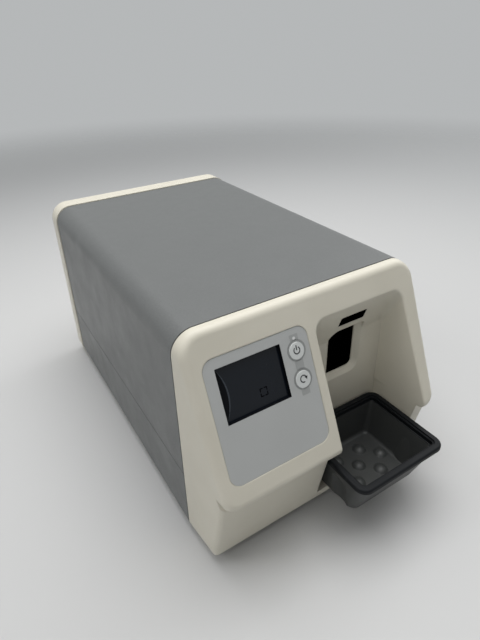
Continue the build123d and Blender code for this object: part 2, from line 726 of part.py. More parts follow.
def tray_bumps():
    """Round bumps on the tray floor, in staggered rows of two, three and two."""
    floor = TRAY_BOTTOM + TRAY_WALL
    y_middle = (TRAY_FRONT + TRAY_FRONT_LEAN + TRAY_BACK - TRAY_BACK_LEAN) / 2
    sphere_radius = (BUMP_RADIUS**2 + BUMP_HEIGHT**2) / (2 * BUMP_HEIGHT)
    bumps = []
    for row, columns in ((1, (-0.5, 0.5)), (0, (-1, 0, 1)), (-1, (-0.5, 0.5))):
        for column in columns:
            x = TRAY_CENTRE + column * BUMP_PITCH
            y = y_middle + row * BUMP_PITCH / 2
            dome = Pos(x, y, floor + BUMP_HEIGHT - sphere_radius) * Sphere(sphere_radius)
            bumps.append(dome & bar_z(x, y, (floor - 1.0, floor + BUMP_HEIGHT + 1.0), BUMP_RADIUS))
    return bumps


def collector_tray():
    rim_low = TRAY_HEIGHT - TRAY_RIM_HEIGHT
    body = loft([tray_outline(0, -1.4), tray_outline(TRAY_HEIGHT - 1.0, -1.4)], ruled=True)
    bottom_edges = body.faces().sort_by(Axis.Z)[0].edges()
    body = fillet(bottom_edges, 2.0)
    rim = extrude(tray_outline(TRAY_HEIGHT, 0), -TRAY_RIM_HEIGHT, dir=(0, 0, 1))
    rim_edges = rim.faces().sort_by(Axis.Z)[-1].edges() + rim.faces().sort_by(Axis.Z)[0].edges()
    rim = fillet(rim_edges, 1.8)
    body = body + rim
    inner = loft(
        [tray_outline(TRAY_WALL, -1.4 - TRAY_WALL), tray_outline(rim_low + 1.0, -TRAY_RIM_WIDTH)],
        ruled=True,
    )
    inner = fillet(inner.faces().sort_by(Axis.Z)[0].edges(), 3.0)
    mouth = extrude(tray_outline(TRAY_HEIGHT, -TRAY_RIM_WIDTH), -TRAY_RIM_HEIGHT, dir=(0, 0, 1))
    ledge = extrude(tray_outline(TRAY_HEIGHT, -TRAY_RIM_WIDTH + 1.4), -1.4, dir=(0, 0, 1))
    bulges = scoop(-1, TRAY_WALL) + scoop(1, TRAY_WALL)
    body = body - (inner - bulges) - mouth - ledge
    body = body - scoop(-1, 0) - scoop(1, 0)
    for bump in tray_bumps():
        body = body + bump
    return body


def before_ceiling(depth):
    """Everything in front of the recess ceiling, once the ceiling is moved back by depth."""
    mouth_y = -TOP_STRIP - RECESS_TOP_MARGIN * RAKE_SIN - MOUTH_LIFT * RAKE_COS
    mouth_z = HOUSING_HEIGHT - RECESS_TOP_MARGIN * RAKE_COS + MOUTH_LIFT * RAKE_SIN
    slope = (mouth_y + RECESS_BACK) / (mouth_z - CEILING_REAR)
    low = CEILING_REAR - 40.0
    high = mouth_z + 40.0
    bottom = (-RECESS_BACK + depth - 40.0 * slope, low)
    top = (mouth_y + depth + 40.0 * slope, high)
    return side_profile([bottom, top, (-BIG, high), (-BIG, low)], BIG / 2)


def slot_liner():
    """Black liner behind both openings: an open duct, a closed pocket and its snout."""
    x = (PLATE_X - OPENING_WIDTH / 2 - LINER_WALL, PLATE_X + OPENING_WIDTH / 2 + LINER_WALL)
    inner_x = (x[0] + LINER_WALL, x[1] - LINER_WALL)
    z = (OPENING_LOW - LINER_WALL, SLOT_HIGH + LINER_WALL)
    partition = OPENING_HIGH + LINER_WALL
    body = block(x, (LINER_FRONT, LINER_BACK), z)
    body = body - block(inner_x, (0, LINER_BACK + 1.0), (OPENING_LOW, OPENING_HIGH))
    back = LINER_FRONT + 1.0
    reach = back + TOP_STRIP + 8.0
    tube_x = (inner_x[0] + FIT_GAP, inner_x[1] - FIT_GAP)
    tube_z = (SLOT_LOW + FIT_GAP, SLOT_HIGH - FIT_GAP)
    snout = rounded_cut(upright(back), tube_x, tube_z, reach, SLOT_CORNER)
    body = body + (snout - before_ceiling(CEILING_GAP))
    throat_x = (inner_x[0] + SNOUT_WALL, inner_x[1] - SNOUT_WALL)
    throat_z = (SLOT_LOW + SNOUT_WALL, SLOT_HIGH - SNOUT_WALL)
    body = body - block(throat_x, (-reach, back + 1.0), throat_z)
    pocket = (LINER_FRONT + 1.0, LINER_BACK - LINER_WALL)
    body = body - block(inner_x, pocket, (partition, SLOT_HIGH))
    pin_hole = SHUTTER_PIN_RADIUS + FIT_GAP
    for z_pin in ((z[0] - 1.0, OPENING_LOW + 0.1), (OPENING_HIGH - 0.1, partition + 1.0)):
        body = body - bar_z(SHUTTER_X, SHUTTER_Y, z_pin, pin_hole)
    return body


def shutter_door():
    """Light shutter that turns on an upright pin at its left edge."""
    low = OPENING_LOW + 4.5
    high = OPENING_HIGH - 0.8
    z = (low, high)
    x = (SHUTTER_X, SHUTTER_X + SHUTTER_LENGTH)
    y = (SHUTTER_Y - SHUTTER_THICKNESS / 2, SHUTTER_Y + SHUTTER_THICKNESS / 2)
    door = block(x, y, z) + bar_z(SHUTTER_X, SHUTTER_Y, z, SHUTTER_BARREL)
    hole = (low - 1.0, high + 1.0)
    return door - bar_z(SHUTTER_X, SHUTTER_Y, hole, SHUTTER_PIN_RADIUS + RUNNING_GAP)


def shutter_pin():
    z = (OPENING_LOW - LINER_WALL, OPENING_HIGH + LINER_WALL)
    return bar_z(SHUTTER_X, SHUTTER_Y, z, SHUTTER_PIN_RADIUS)


def shutter_spring():
    """Closing spring around the pin, below the door."""
    wire = 0.25
    coil_radius = SHUTTER_PIN_RADIUS + 0.75
    path = Pos(SHUTTER_X, SHUTTER_Y, OPENING_LOW + 0.4) * Helix(0.8, 3.2, coil_radius)
    start = path @ 0
    section = Plane(origin=start, z_dir=path % 0) * Circle(wire)
    return sweep(section, path=path)


def base_chassis():
    """Sheet tray of the base, with a lip behind the cover and ears for the two end mouldings."""
    y = (SEAM_GAP, COVER_DEPTH)
    high = BASE_WALL_HEIGHT - 0.8
    outer = upright(y[1]) * outline(HALF, 0, high + 20.0, 1.0, BASE_CORNER)
    inner = upright(y[1]) * outline(HALF - SHEET, SHEET, high + 40.0, 1.0, BASE_CORNER - SHEET)
    tray = extrude(outer, y[1] - y[0]) - extrude(inner, y[1] - y[0])
    tray = tray - block((-BIG, BIG), (-BIG, BIG), (high, BIG))
    for side in (-1, 1):
        lip_x = sorted((side * (HALF - SHEET), side * (HALF - 2 * SHEET)))
        tray = tray + block(lip_x, (y[0] + 8.0, y[1] - 8.0), (high - 8.0, high + 8.0))
        ear_x = sorted((side * (HALF - SHEET), side * (HALF - 18.0)))
        for ear_y in ((y[0], y[0] + SHEET), (y[1] - SHEET, y[1])):
            tray = tray + block(ear_x, ear_y, (SHEET, high - 1.0))
    hole = MEDIUM_SHANK + 0.3
    for x, z in ear_screw_places():
        tray = tray - bar_y(x, (0, y[0] + 5.0), z, hole)
        tray = tray - bar_y(x, (y[1] - 5.0, y[1] + 5.0), z, hole)
    for x, yy in foot_places():
        tray = tray - bar_z(x, yy, (-1.0, 5.0), LARGE_SHANK)
    return tray


def top_cover():
    """Painted sheet over the top and down both sides to the seam."""
    y = (SEAM_GAP, COVER_DEPTH)
    outer = upright(y[1]) * outline(HALF, 0, HOUSING_HEIGHT, TOP_CORNER, 1.0)
    inner_top = HOUSING_HEIGHT - SHEET
    inner = upright(y[1]) * outline(HALF - SHEET, -5.0, inner_top, TOP_CORNER - SHEET, 1.0)
    cover = extrude(outer, y[1] - y[0]) - extrude(inner, y[1] - y[0])
    return cover - block((-BIG, BIG), (-BIG, BIG), (-BIG, BASE_WALL_HEIGHT))


def rear_outline(inset):
    half = HALF + REAR_CAP_PROUD - inset
    high = HOUSING_HEIGHT + REAR_CAP_PROUD - inset
    return outline(half, inset, high, TOP_CORNER + REAR_CAP_PROUD - inset, BASE_CORNER)


def connector_bounds():
    """Bounds x and z of the connector plate's opening in the rear cap."""
    x = -HALF + CONNECTOR_LEFT
    return (x, x + CONNECTOR_WIDTH), (CONNECTOR_LOW, CONNECTOR_LOW + CONNECTOR_HEIGHT)


def rear_cap():
    """White moulding behind the cover, with cooling slots and a window for the connector plate."""
    front = COVER_DEPTH + SEAM_GAP
    body = extrude(upright(REAR) * rear_outline(0), REAR_CAP_DEPTH)
    body = fillet(body.faces().sort_by(Axis.Y)[-1].edges(), REAR_ROUNDING)
    body = body - extrude(upright(REAR - WALL) * rear_outline(WALL), REAR_CAP_DEPTH)
    for x, z in ear_screw_places():
        body = body + bar_y(x, (COVER_DEPTH, REAR - WALL / 2), z, BOSS_RADIUS)
    for x, z in ear_screw_places():
        body = body - bar_y(x, (front - 2.0, REAR + 1.0), z, MEDIUM_SHANK + 0.2)
        body = body - bar_y(x, (REAR - REAR_SCREW_DEPTH, REAR + 1.0), z, MEDIUM_HEAD + 0.3)
    x, z = connector_bounds()
    body = body - block(x, (REAR - 10.0, REAR + 1.0), z)
    row_top = HOUSING_HEIGHT - VENT_TOP_MARGIN
    for index in range(-VENTS_EACH_SIDE, VENTS_EACH_SIDE + 1):
        vent_x = (index * VENT_PITCH - VENT_WIDTH / 2, index * VENT_PITCH + VENT_WIDTH / 2)
        for top in (row_top, row_top - VENT_ROW_PITCH):
            low = top - VENT_LENGTH
            cut = rounded_cut(upright(REAR + 1.0), vent_x, (low, top), WALL + 2.0, VENT_WIDTH * 0.45)
            body = body - cut
    return body


def connector_place(offset):
    """Middle (x, z) of a connector at an offset from the left edge of the opening."""
    x, z = connector_bounds()
    return x[0] + offset, (z[0] + z[1]) / 2


def place_bounds(place, size, grow):
    x, z = place
    half_x = size[0] / 2 + grow
    half_z = size[1] / 2 + grow
    return (x - half_x, x + half_x), (z - half_z, z + half_z)


def connector_plate():
    """Steel plate behind the window in the rear cap, cut for the three connectors."""
    x, z = connector_bounds()
    y = (REAR - WALL - SHEET, REAR - WALL)
    plate = block((x[0] - 4.0, x[1] + 4.0), y, (z[0] - 4.0, z[1] + 4.0))
    for place, size in (
        (connector_place(INLET_OFFSET), INLET_SIZE),
        (connector_place(SWITCH_OFFSET), SWITCH_SIZE),
        (connector_place(JACK_OFFSET), JACK_SIZE),
    ):
        cut_x, cut_z = place_bounds(place, size, FIT_GAP)
        plate = plate - block(cut_x, (y[0] - 1.0, y[1] + 1.0), cut_z)
    return plate


def flanged_housing(offset, size, socket):
    """Connector housing with a flange on the plate's outside and a socket cut into its face."""
    place = connector_place(offset)
    x, z = place_bounds(place, size, 0)
    flange_x, flange_z = place_bounds(place, size, FLANGE_WIDTH)
    plate_back = REAR - WALL
    flange_back = plate_back + FLANGE_THICKNESS
    body = block(x, (plate_back - CONNECTOR_DEPTH, plate_back), z)
    body = body + block(flange_x, (plate_back, flange_back), flange_z)
    socket_x, socket_z = place_bounds(place, socket, 0)
    return body - block(socket_x, (flange_back - SOCKET_DEPTH, flange_back + 1.0), socket_z)


def socket_size(size):
    return size[0] - 2 * SOCKET_WALL, size[1] - 2 * SOCKET_WALL


def power_inlet():
    """Mains inlet with its three contact blades."""
    body = flanged_housing(INLET_OFFSET, INLET_SIZE, socket_size(INLET_SIZE))
    x, z = connector_place(INLET_OFFSET)
    back = REAR - WALL
    for dx, dz in ((-7.0, -1.5), (0, 2.5), (7.0, -1.5)):
        blade_x, blade_z = place_bounds((x + dx, z + dz), (2.0, 4.0), 0)
        body = body + block(blade_x, (back - SOCKET_DEPTH, back - 2.0), blade_z)
    return body


def switch_housing():
    """Housing of the mains switch, with two pin holes for its rocker."""
    body = flanged_housing(SWITCH_OFFSET, SWITCH_SIZE, socket_size(SWITCH_SIZE))
    x, z = connector_place(SWITCH_OFFSET)
    pin = rocker_pin_reach() + FIT_GAP
    return body - bar_x((x - pin, x + pin), rocker_axis(), z, ROCKER_PIN_RADIUS + RUNNING_GAP)


def rocker_axis():
    """Depth of the rocker's pivot."""
    return REAR - WALL - 3.0


def rocker_pin_reach():
    return SWITCH_SIZE[0] / 2 - SOCKET_WALL / 2


def switch_rocker():
    """Rocker of the mains switch, resting with its lower half pressed in."""
    x, z = connector_place(SWITCH_OFFSET)
    y = rocker_axis()
    tilt = radians(ROCKER_SWING / 2)
    reach = SWITCH_SIZE[1] / 2 - SOCKET_WALL - 0.9
    rise = 4.2
    root = (3.0, 2.5)
    half_width = SWITCH_SIZE[0] / 2 - SOCKET_WALL - SLIDE_GAP
    sweep_y = reach * sin(tilt)
    sweep_z = reach * cos(tilt)
    profile = [
        (y - root[0], z - root[1]),
        (y + rise * cos(tilt) - sweep_y, z - rise * sin(tilt) - sweep_z),
        (y + rise - 1.2, z),
        (y + rise * cos(tilt) + sweep_y, z - rise * sin(tilt) + sweep_z),
        (y - root[0], z + root[1]),
    ]
    corners = [(x, py, pz) for py, pz in profile]
    rocker = extrude(make_face(Polyline(*corners, close=True)), half_width, dir=(1, 0, 0), both=True)
    pin = rocker_pin_reach() - SLIDE_GAP
    return rocker + bar_x((x - pin, x + pin), y, z, ROCKER_PIN_RADIUS)


def network_jack():
    return flanged_housing(JACK_OFFSET, JACK_SIZE, JACK_SOCKET)


def foot_places():
    x = (-HALF + FOOT_SIDE_INSET, HALF - FOOT_SIDE_INSET)
    y = (FOOT_FRONT_INSET, COVER_DEPTH - FOOT_BACK_INSET)
    return [(foot_x, foot_y) for foot_x in x for foot_y in y]


def rubber_feet():
    """Four rubber feet with a recess for the screw head."""
    feet = []
    for x, y in foot_places():
        foot = Pos(x, y, -FOOT_HEIGHT / 2) * Cone(FOOT_RADIUS - 1.5, FOOT_RADIUS, FOOT_HEIGHT)
        foot = fillet(foot.faces().sort_by(Axis.Z)[0].edges(), 1.2)
        foot = foot - bar_z(x, y, (-FOOT_HEIGHT - 1.0, -FOOT_SEAT), LARGE_HEAD + 0.6)
        feet.append(foot - bar_z(x, y, (-FOOT_SEAT - 1.0, 1.0), LARGE_SHANK))
    return Compound(feet)


def foot_screws():
    screws = []
    for x, y in foot_places():
        head = bar_z(x, y, (-FOOT_SEAT - HEAD_HEIGHT, -FOOT_SEAT), LARGE_HEAD)
        screws.append(head + bar_z(x, y, (-FOOT_SEAT, 2 * SHEET), LARGE_SHANK - FIT_GAP))
    return Compound(screws)


def bezel_screws():
    """Screws through the chassis ears into the bezel's bosses."""
    back = SEAM_GAP + SHEET
    screws = []
    for x, z in ear_screw_places():
        head = bar_y(x, (back, back + HEAD_HEIGHT), z, MEDIUM_HEAD)
        screws.append(head + bar_y(x, (-BEZEL_SCREW_REACH, back), z, MEDIUM_SHANK - FIT_GAP))
    return Compound(screws)


def rear_screws():
    """Screws deep in the rear cap's bosses, which hold it to the chassis ears."""
    seat = REAR - REAR_SCREW_DEPTH
    screws = []
    for x, z in ear_screw_places():
        head = bar_y(x, (seat, seat + HEAD_HEIGHT), z, MEDIUM_HEAD)
        for width, height in (DRIVE_SLOT, DRIVE_SLOT[::-1]):
            head = head - Pos(x, seat + HEAD_HEIGHT, z) * Box(width, 2 * DRIVE_SLOT_DEPTH, height)
        shank = bar_y(x, (COVER_DEPTH - REAR_SCREW_REACH, seat), z, MEDIUM_SHANK - FIT_GAP)
        screws.append(head + shank)
    return Compound(screws)


def carriage_bracket():
    """Bracket on the chassis floor, with two bearing uprights and a motor mount."""
    x = (BRACKET_LEFT, BRACKET_RIGHT)
    floor_top = SHEET + BRACKET_THICKNESS
    body = block(x, (BRACKET_FRONT, MOTOR_FRONT), (SHEET, floor_top))
    for y in (BRACKET_FRONT, BRACKET_BACK, MOTOR_MOUNT):
        body = body + block(x, (y, y + BRACKET_THICKNESS), (floor_top, BRACKET_TOP))
    for y in (BRACKET_FRONT, BRACKET_BACK):
        cut = (y - 1.0, y + BRACKET_THICKNESS + 1.0)
        body = body - bar_y(PLATE_X, cut, SCREW_Z, BEARING_RADIUS + FIT_GAP)
        for side in (-1, 1):
            rod_x = PLATE_X + side * ROD_SPREAD / 2
            body = body - bar_y(rod_x, cut, SCREW_Z, ROD_RADIUS + FIT_GAP)
    cut = (MOTOR_MOUNT - 1.0, MOTOR_FRONT + 1.0)
    body = body - bar_y(PLATE_X, cut, SCREW_Z, MOTOR_SHAFT_RADIUS + 3.0)
    for x_screw, z_screw in motor_screw_places():
        body = body - bar_y(x_screw, cut, z_screw, MEDIUM_SHANK + 0.2)
    return body


def motor_screw_places():
    reach = MOTOR_SIZE * 0.37
    return [(PLATE_X + dx, SCREW_Z + dz) for dx in (-reach, reach) for dz in (-reach, reach)]


def guide_rods():
    y = (BRACKET_FRONT, BRACKET_BACK + BRACKET_THICKNESS)
    rods = [bar_y(PLATE_X + side * ROD_SPREAD / 2, y, SCREW_Z, ROD_RADIUS) for side in (-1, 1)]
    return Compound(rods)


def screw_end():
    """Depth at which the lead screw ends, inside the coupling."""
    return BRACKET_BACK + BRACKET_THICKNESS + 2.0 + COUPLING_LENGTH / 2


def lead_screw():
    return bar_y(PLATE_X, (BRACKET_FRONT - 2.0, screw_end()), SCREW_Z, SCREW_RADIUS)


def screw_bearings():
    rings = []
    for y in (BRACKET_FRONT, BRACKET_BACK):
        ring = bar_y(PLATE_X, (y, y + BRACKET_THICKNESS), SCREW_Z, BEARING_RADIUS)
        cut = (y - 1.0, y + BRACKET_THICKNESS + 1.0)
        rings.append(ring - bar_y(PLATE_X, cut, SCREW_Z, SCREW_RADIUS + RUNNING_GAP))
    return Compound(rings)


def shaft_coupling():
    """Clamp coupling with a slot on each side, between the lead screw and the motor shaft."""
    y = (screw_end() - COUPLING_LENGTH / 2, screw_end() + COUPLING_LENGTH / 2)
    body = bar_y(PLATE_X, y, SCREW_Z, COUPLING_RADIUS)
    body = body - bar_y(PLATE_X, (y[0] - 1.0, screw_end()), SCREW_Z, SCREW_RADIUS + FIT_GAP)
    shaft_bore = MOTOR_SHAFT_RADIUS + FIT_GAP
    body = body - bar_y(PLATE_X, (screw_end() - 1.0, y[1] + 1.0), SCREW_Z, shaft_bore)
    slot_x = (PLATE_X - 0.5, PLATE_X + 0.5)
    return body - block(slot_x, (y[0] - 1.0, y[1] + 1.0), (SCREW_Z, SCREW_Z + COUPLING_RADIUS + 1.0))


def motor_shaft():
    return bar_y(PLATE_X, (screw_end() + 1.0, MOTOR_FRONT + 12.0), SCREW_Z, MOTOR_SHAFT_RADIUS)


def stepper_motor():
    """Square motor with chamfered corners, a rear cap and a bore for its shaft."""
    half = MOTOR_SIZE / 2
    y = (MOTOR_FRONT, MOTOR_FRONT + MOTOR_LENGTH)
    body = block((PLATE_X - half, PLATE_X + half), y, (SCREW_Z - half, SCREW_Z + half))
    body = chamfer(body.edges().filter_by(Axis.Y), 4.0)
    body = body - bar_y(PLATE_X, (y[0] - 1.0, y[0] + 13.0), SCREW_Z, MOTOR_SHAFT_RADIUS + RUNNING_GAP)
    for x, z in motor_screw_places():
        body = body - bar_y(x, (y[0] - 1.0, y[0] + 6.0), z, MEDIUM_SHANK)
    return body


def motor_screws():
    screws = []
    for x, z in motor_screw_places():
        head = bar_y(x, (MOTOR_MOUNT - HEAD_HEIGHT, MOTOR_MOUNT), z, MEDIUM_HEAD)
        shank = bar_y(x, (MOTOR_MOUNT, MOTOR_FRONT + 5.0), z, MEDIUM_SHANK - FIT_GAP)
        screws.append(head + shank)
    return Compound(screws)


def carriage():
    """Sliding block on the two rods, bored for the nut, with a slot for the plate holder."""
    y = (CARRIAGE_FRONT, CARRIAGE_FRONT + CARRIAGE_LENGTH)
    x = (PLATE_X - CARRIAGE_WIDTH / 2, PLATE_X + CARRIAGE_WIDTH / 2)
    body = block(x, y, (SCREW_Z - CARRIAGE_HEIGHT / 2, CARRIAGE_TOP))
    body = chamfer(body.edges().filter_by(Axis.Y), 2.0)
    cut = (y[0] - 1.0, y[1] + 1.0)
    body = body - bar_y(PLATE_X, cut, SCREW_Z, NUT_RADIUS + FIT_GAP)
    for side in (-1, 1):
        rod_x = PLATE_X + side * ROD_SPREAD / 2
        body = body - bar_y(rod_x, cut, SCREW_Z, ROD_RADIUS + RUNNING_GAP)
    return body


def carriage_nut():
    """Flanged nut seated in the carriage, running on the lead screw."""
    y = (CARRIAGE_FRONT, CARRIAGE_FRONT + CARRIAGE_LENGTH)
    body = bar_y(PLATE_X, y, SCREW_Z, NUT_RADIUS)
    body = body + bar_y(PLATE_X, (y[1], y[1] + 2.5), SCREW_Z, NUT_RADIUS + 1.5)
    return body - bar_y(PLATE_X, (y[0] - 1.0, y[1] + 4.0), SCREW_Z, SCREW_RADIUS + RUNNING_GAP)


def plate_holder():
    """Upright sheet on the carriage that carries an imaging plate by its edges."""
    x = (PLATE_X + PLATE_THICKNESS / 2, PLATE_X + PLATE_THICKNESS / 2 + HOLDER_THICKNESS)
    y = (CARRIAGE_FRONT, CARRIAGE_FRONT + PLATE_LENGTH + 3.0)
    high = PLATE_Z + PLATE_HEIGHT / 2 + 1.0
    sheet = block(x, y, (CARRIAGE_TOP, high))
    foot_y = (y[0] + 4.0, y[0] + CARRIAGE_LENGTH - 4.0)
    foot = block((x[1], x[1] + HOLDER_FOOT), foot_y, (CARRIAGE_TOP, CARRIAGE_TOP + HOLDER_THICKNESS))
    ledge_x = (PLATE_X - PLATE_THICKNESS / 2 - 0.5, x[0])
    ledge_low = PLATE_Z - PLATE_HEIGHT / 2
    ledge = block(ledge_x, y, (ledge_low - 1.5, ledge_low))
    return sheet + foot + ledge


def position_sensor():
    """Fork sensor on the front upright, which sees the carriage when it is home."""
    x = (PLATE_X + ROD_SPREAD / 2 - 14.0, PLATE_X + ROD_SPREAD / 2 - 5.0)
    y = (BRACKET_FRONT + BRACKET_THICKNESS, BRACKET_FRONT + BRACKET_THICKNESS + 10.0)
    z = (SCREW_Z - 20.0, SCREW_Z - 10.0)
    body = block(x, y, z)
    return body - block((x[0] + 3.0, x[1] - 3.0), (y[0] + 3.0, y[1] + 1.0), (z[0] - 1.0, z[1] + 1.0))


def leg_places():
    inset = 8.0
    left = -HALF + 2 * SHEET + LEG_RADIUS + 1.0
    right = BRACKET_LEFT - LEG_RADIUS - 3.5
    y = (BENCH_FRONT + inset, BENCH_FRONT + BENCH_LENGTH - inset)
    return [(leg_x, leg_y) for leg_x in (left, right) for leg_y in y]


def optical_bench():
    """Cast plate with an upright wall that carries the polygon motor and the laser."""
    y = (BENCH_FRONT, BENCH_FRONT + BENCH_LENGTH)
    body = block((BENCH_LEFT, BENCH_RIGHT), y, (BENCH_LOW, BENCH_TOP))
    wall_x = (POLYGON_X - POLYGON_RADIUS - 6.0, POLYGON_X + LENS_GAP + 16.0)
    body = body + block(wall_x, (WALL_Y, WALL_Y + BENCH_THICKNESS), (BENCH_TOP, BEAM_Z + 12.0))
    for x in (wall_x[0], wall_x[1] - BENCH_THICKNESS):
        back = WALL_Y + BENCH_THICKNESS
        corners = [(x, back, BENCH_TOP), (x, y[1] - 16.0, BENCH_TOP), (x, back, BEAM_Z)]
        body = body + extrude(make_face(Polyline(*corners, close=True)), BENCH_THICKNESS, dir=(1, 0, 0))
    for x, leg_y in leg_places():
        body = body - bar_z(x, leg_y, (BENCH_LOW - 1.0, BENCH_TOP + 1.0), LARGE_SHANK + 0.2)
    return body


def bench_legs():
    legs = []
    for x, y in leg_places():
        leg = bar_z(x, y, (SHEET, BENCH_LOW), LEG_RADIUS)
        legs.append(leg - bar_z(x, y, (BENCH_LOW - 10.0, BENCH_LOW + 1.0), LARGE_SHANK))
    return Compound(legs)


def bench_screws():
    screws = []
    for x, y in leg_places():
        head = bar_z(x, y, (BENCH_TOP, BENCH_TOP + HEAD_HEIGHT), LARGE_HEAD)
        screws.append(head + bar_z(x, y, (BENCH_LOW - 8.0, BENCH_TOP), LARGE_SHANK - FIT_GAP))
    return Compound(screws)


def polygon_motor():
    y = (WALL_Y - POLYGON_MOTOR_LENGTH, WALL_Y)
    body = bar_y(POLYGON_X, y, PLATE_Z, POLYGON_MOTOR_RADIUS)
    half = POLYGON_MOTOR_RADIUS + 3.0
    x = (POLYGON_X - half, POLYGON_X + half)
    body = body + block(x, (WALL_Y - 2.0, WALL_Y), (PLATE_Z - half, PLATE_Z + half))
    return body - bar_y(POLYGON_X, (y[0] - 1.0, WALL_Y - 2.5), PLATE_Z, POLYGON_HUB + RUNNING_GAP)


def polygon_mirror():
    """Eight-sided scanning mirror with its shaft."""
    back = SCAN_Y + POLYGON_THICKNESS / 2
    front = back - POLYGON_THICKNESS
    rim = upright(back) * Pos(POLYGON_X, PLATE_Z) * RegularPolygon(POLYGON_RADIUS, 8)
    drum = extrude(rim, POLYGON_THICKNESS)
    drum = drum + bar_y(POLYGON_X, (back, WALL_Y - 3.0), PLATE_Z, POLYGON_HUB)
    return drum + bar_y(POLYGON_X, (front - 2.0, back), PLATE_Z, POLYGON_HUB + 3.0)


def laser_bounds():
    low = POLYGON_X + 12.0
    return low, low + LASER_LENGTH


def laser_module():
    """Laser diode in a barrel with a focusing lens at its left end."""
    x = laser_bounds()
    body = bar_x((x[0] + 4.0, x[1]), SCAN_Y, BEAM_Z, LASER_RADIUS)
    body = body + bar_x((x[0], x[0] + 4.0), SCAN_Y, BEAM_Z, LASER_RADIUS - 1.5)
    return body + bar_x((x[1], x[1] + 6.0), SCAN_Y, BEAM_Z, 2.0)


def laser_clamp():
    """Block on the bench wall that holds the laser."""
    x = laser_bounds()
    reach = LASER_RADIUS + 4.0
    clamp_x = (x[0] + 6.0, POLYGON_X + LENS_GAP - 3.0)
    body = block(clamp_x, (SCAN_Y - reach, WALL_Y), (BEAM_Z - reach, BEAM_Z + reach))
    return body - bar_x(x, SCAN_Y, BEAM_Z, LASER_RADIUS + FIT_GAP)


def fold_mirror():
    """Small mirror at 45 degrees above the polygon, held by its arm to the bench wall."""
    mirror = Pos(POLYGON_X, SCAN_Y, BEAM_Z) * Rot(0, -45, 0) * Box(14.0, 12.0, 2.0)
    arm = block((POLYGON_X - 9.0, POLYGON_X - 2.0), (SCAN_Y + 5.0, WALL_Y), (BEAM_Z - 2.0, BEAM_Z + 8.0))
    return mirror + arm


def scan_lens():
    """Long lens, flat towards the polygon and curved towards the plate."""
    x = POLYGON_X + LENS_GAP
    curve = 90.0
    y = (SCAN_Y - LENS_WIDTH / 2, SCAN_Y + LENS_WIDTH / 2)
    z = (PLATE_Z - LENS_HEIGHT / 2, PLATE_Z + LENS_HEIGHT / 2)
    bar = block((x, x + LENS_THICKNESS), y, z)
    return bar & bar_y(x + LENS_THICKNESS - curve, (y[0] - 1.0, y[1] + 1.0), PLATE_Z, curve)


def lens_mount():
    """Pedestal on the bench with a notch for the scan lens."""
    x = POLYGON_X + LENS_GAP
    low = PLATE_Z - LENS_HEIGHT / 2
    wall = 3.0
    y = (SCAN_Y - LENS_WIDTH / 2, SCAN_Y + LENS_WIDTH / 2)
    notch = block((x, x + LENS_THICKNESS), y, (low, low + 7.0))
    outer_x = (x - wall, x + LENS_THICKNESS + wall)
    return block(outer_x, (y[0] - wall, y[1] + wall), (BENCH_TOP, low + 6.0)) - notch


def light_guide():
    """Clear slab that leads the plate's glow to the tube's window."""
    x = (TUBE_X - TUBE_RADIUS + 2.0, PLATE_X - GUIDE_GAP)
    y = (TUBE_FRONT - GUIDE_THICKNESS, TUBE_FRONT)
    body = block(x, y, (PLATE_Z - TUBE_RADIUS, PLATE_Z + TUBE_RADIUS))
    return chamfer(body.edges().filter_by(Axis.Z).sort_by(Axis.X)[:2], 2.0)


def photomultiplier():
    """Light-detector tube in its shield, with a wider socket at the back."""
    y = (TUBE_FRONT, TUBE_FRONT + TUBE_LENGTH)
    body = bar_y(TUBE_X, y, PLATE_Z, TUBE_RADIUS)
    return body + bar_y(TUBE_X, (y[1], y[1] + 12.0), PLATE_Z, TUBE_RADIUS - 2.0)


def tube_clamp():
    """Saddle on the bench under the detector tube."""
    y = (TUBE_FRONT + 18.0, TUBE_FRONT + 36.0)
    x = (TUBE_X - TUBE_RADIUS + 1.0, BENCH_RIGHT)
    body = block(x, y, (BENCH_TOP, PLATE_Z - 4.0))
    return body - bar_y(TUBE_X, (y[0] - 1.0, y[1] + 1.0), PLATE_Z, TUBE_RADIUS + FIT_GAP)


def eraser_y():
    middle = SCAN_Y + 12.0
    return middle - ERASER_LENGTH / 2, middle + ERASER_LENGTH / 2


def eraser_bracket():
    """Upright sheet at the right of the transport, with a foot on the chassis floor."""
    x = BRACKET_RIGHT + 4.0
    y = eraser_y()
    upright_sheet = block((x, x + SHEET), y, (SHEET, PLATE_Z + PLATE_HEIGHT / 2 + 4.0))
    return upright_sheet + block((x, x + ERASER_FOOT), y, (SHEET, 2 * SHEET))


def eraser_board():
    """Lamp board of the eraser, with two rows of lamps that face the plate."""
    x = BRACKET_RIGHT + 4.0
    y = eraser_y()
    board = block((x - BOARD_THICKNESS, x), y, (PLATE_Z - PLATE_HEIGHT / 2, PLATE_Z + PLATE_HEIGHT / 2))
    lamps = 6
    pitch = ERASER_LENGTH / lamps
    for index in range(lamps):
        for z in (PLATE_Z - PLATE_HEIGHT / 4, PLATE_Z + PLATE_HEIGHT / 4):
            lamp_x = (x - BOARD_THICKNESS - 3.0, x - BOARD_THICKNESS)
            board = board + bar_x(lamp_x, y[0] + (index + 0.5) * pitch, z, 2.5)
    return board


def board_corners():
    inset = 5.0
    x = (BOARD_LEFT + inset, BOARD_LEFT + MAIN_BOARD_WIDTH - inset)
    y = (MAIN_BOARD_FRONT + inset, MAIN_BOARD_FRONT + MAIN_BOARD_LENGTH - inset)
    return [(cx, cy) for cx in x for cy in y]


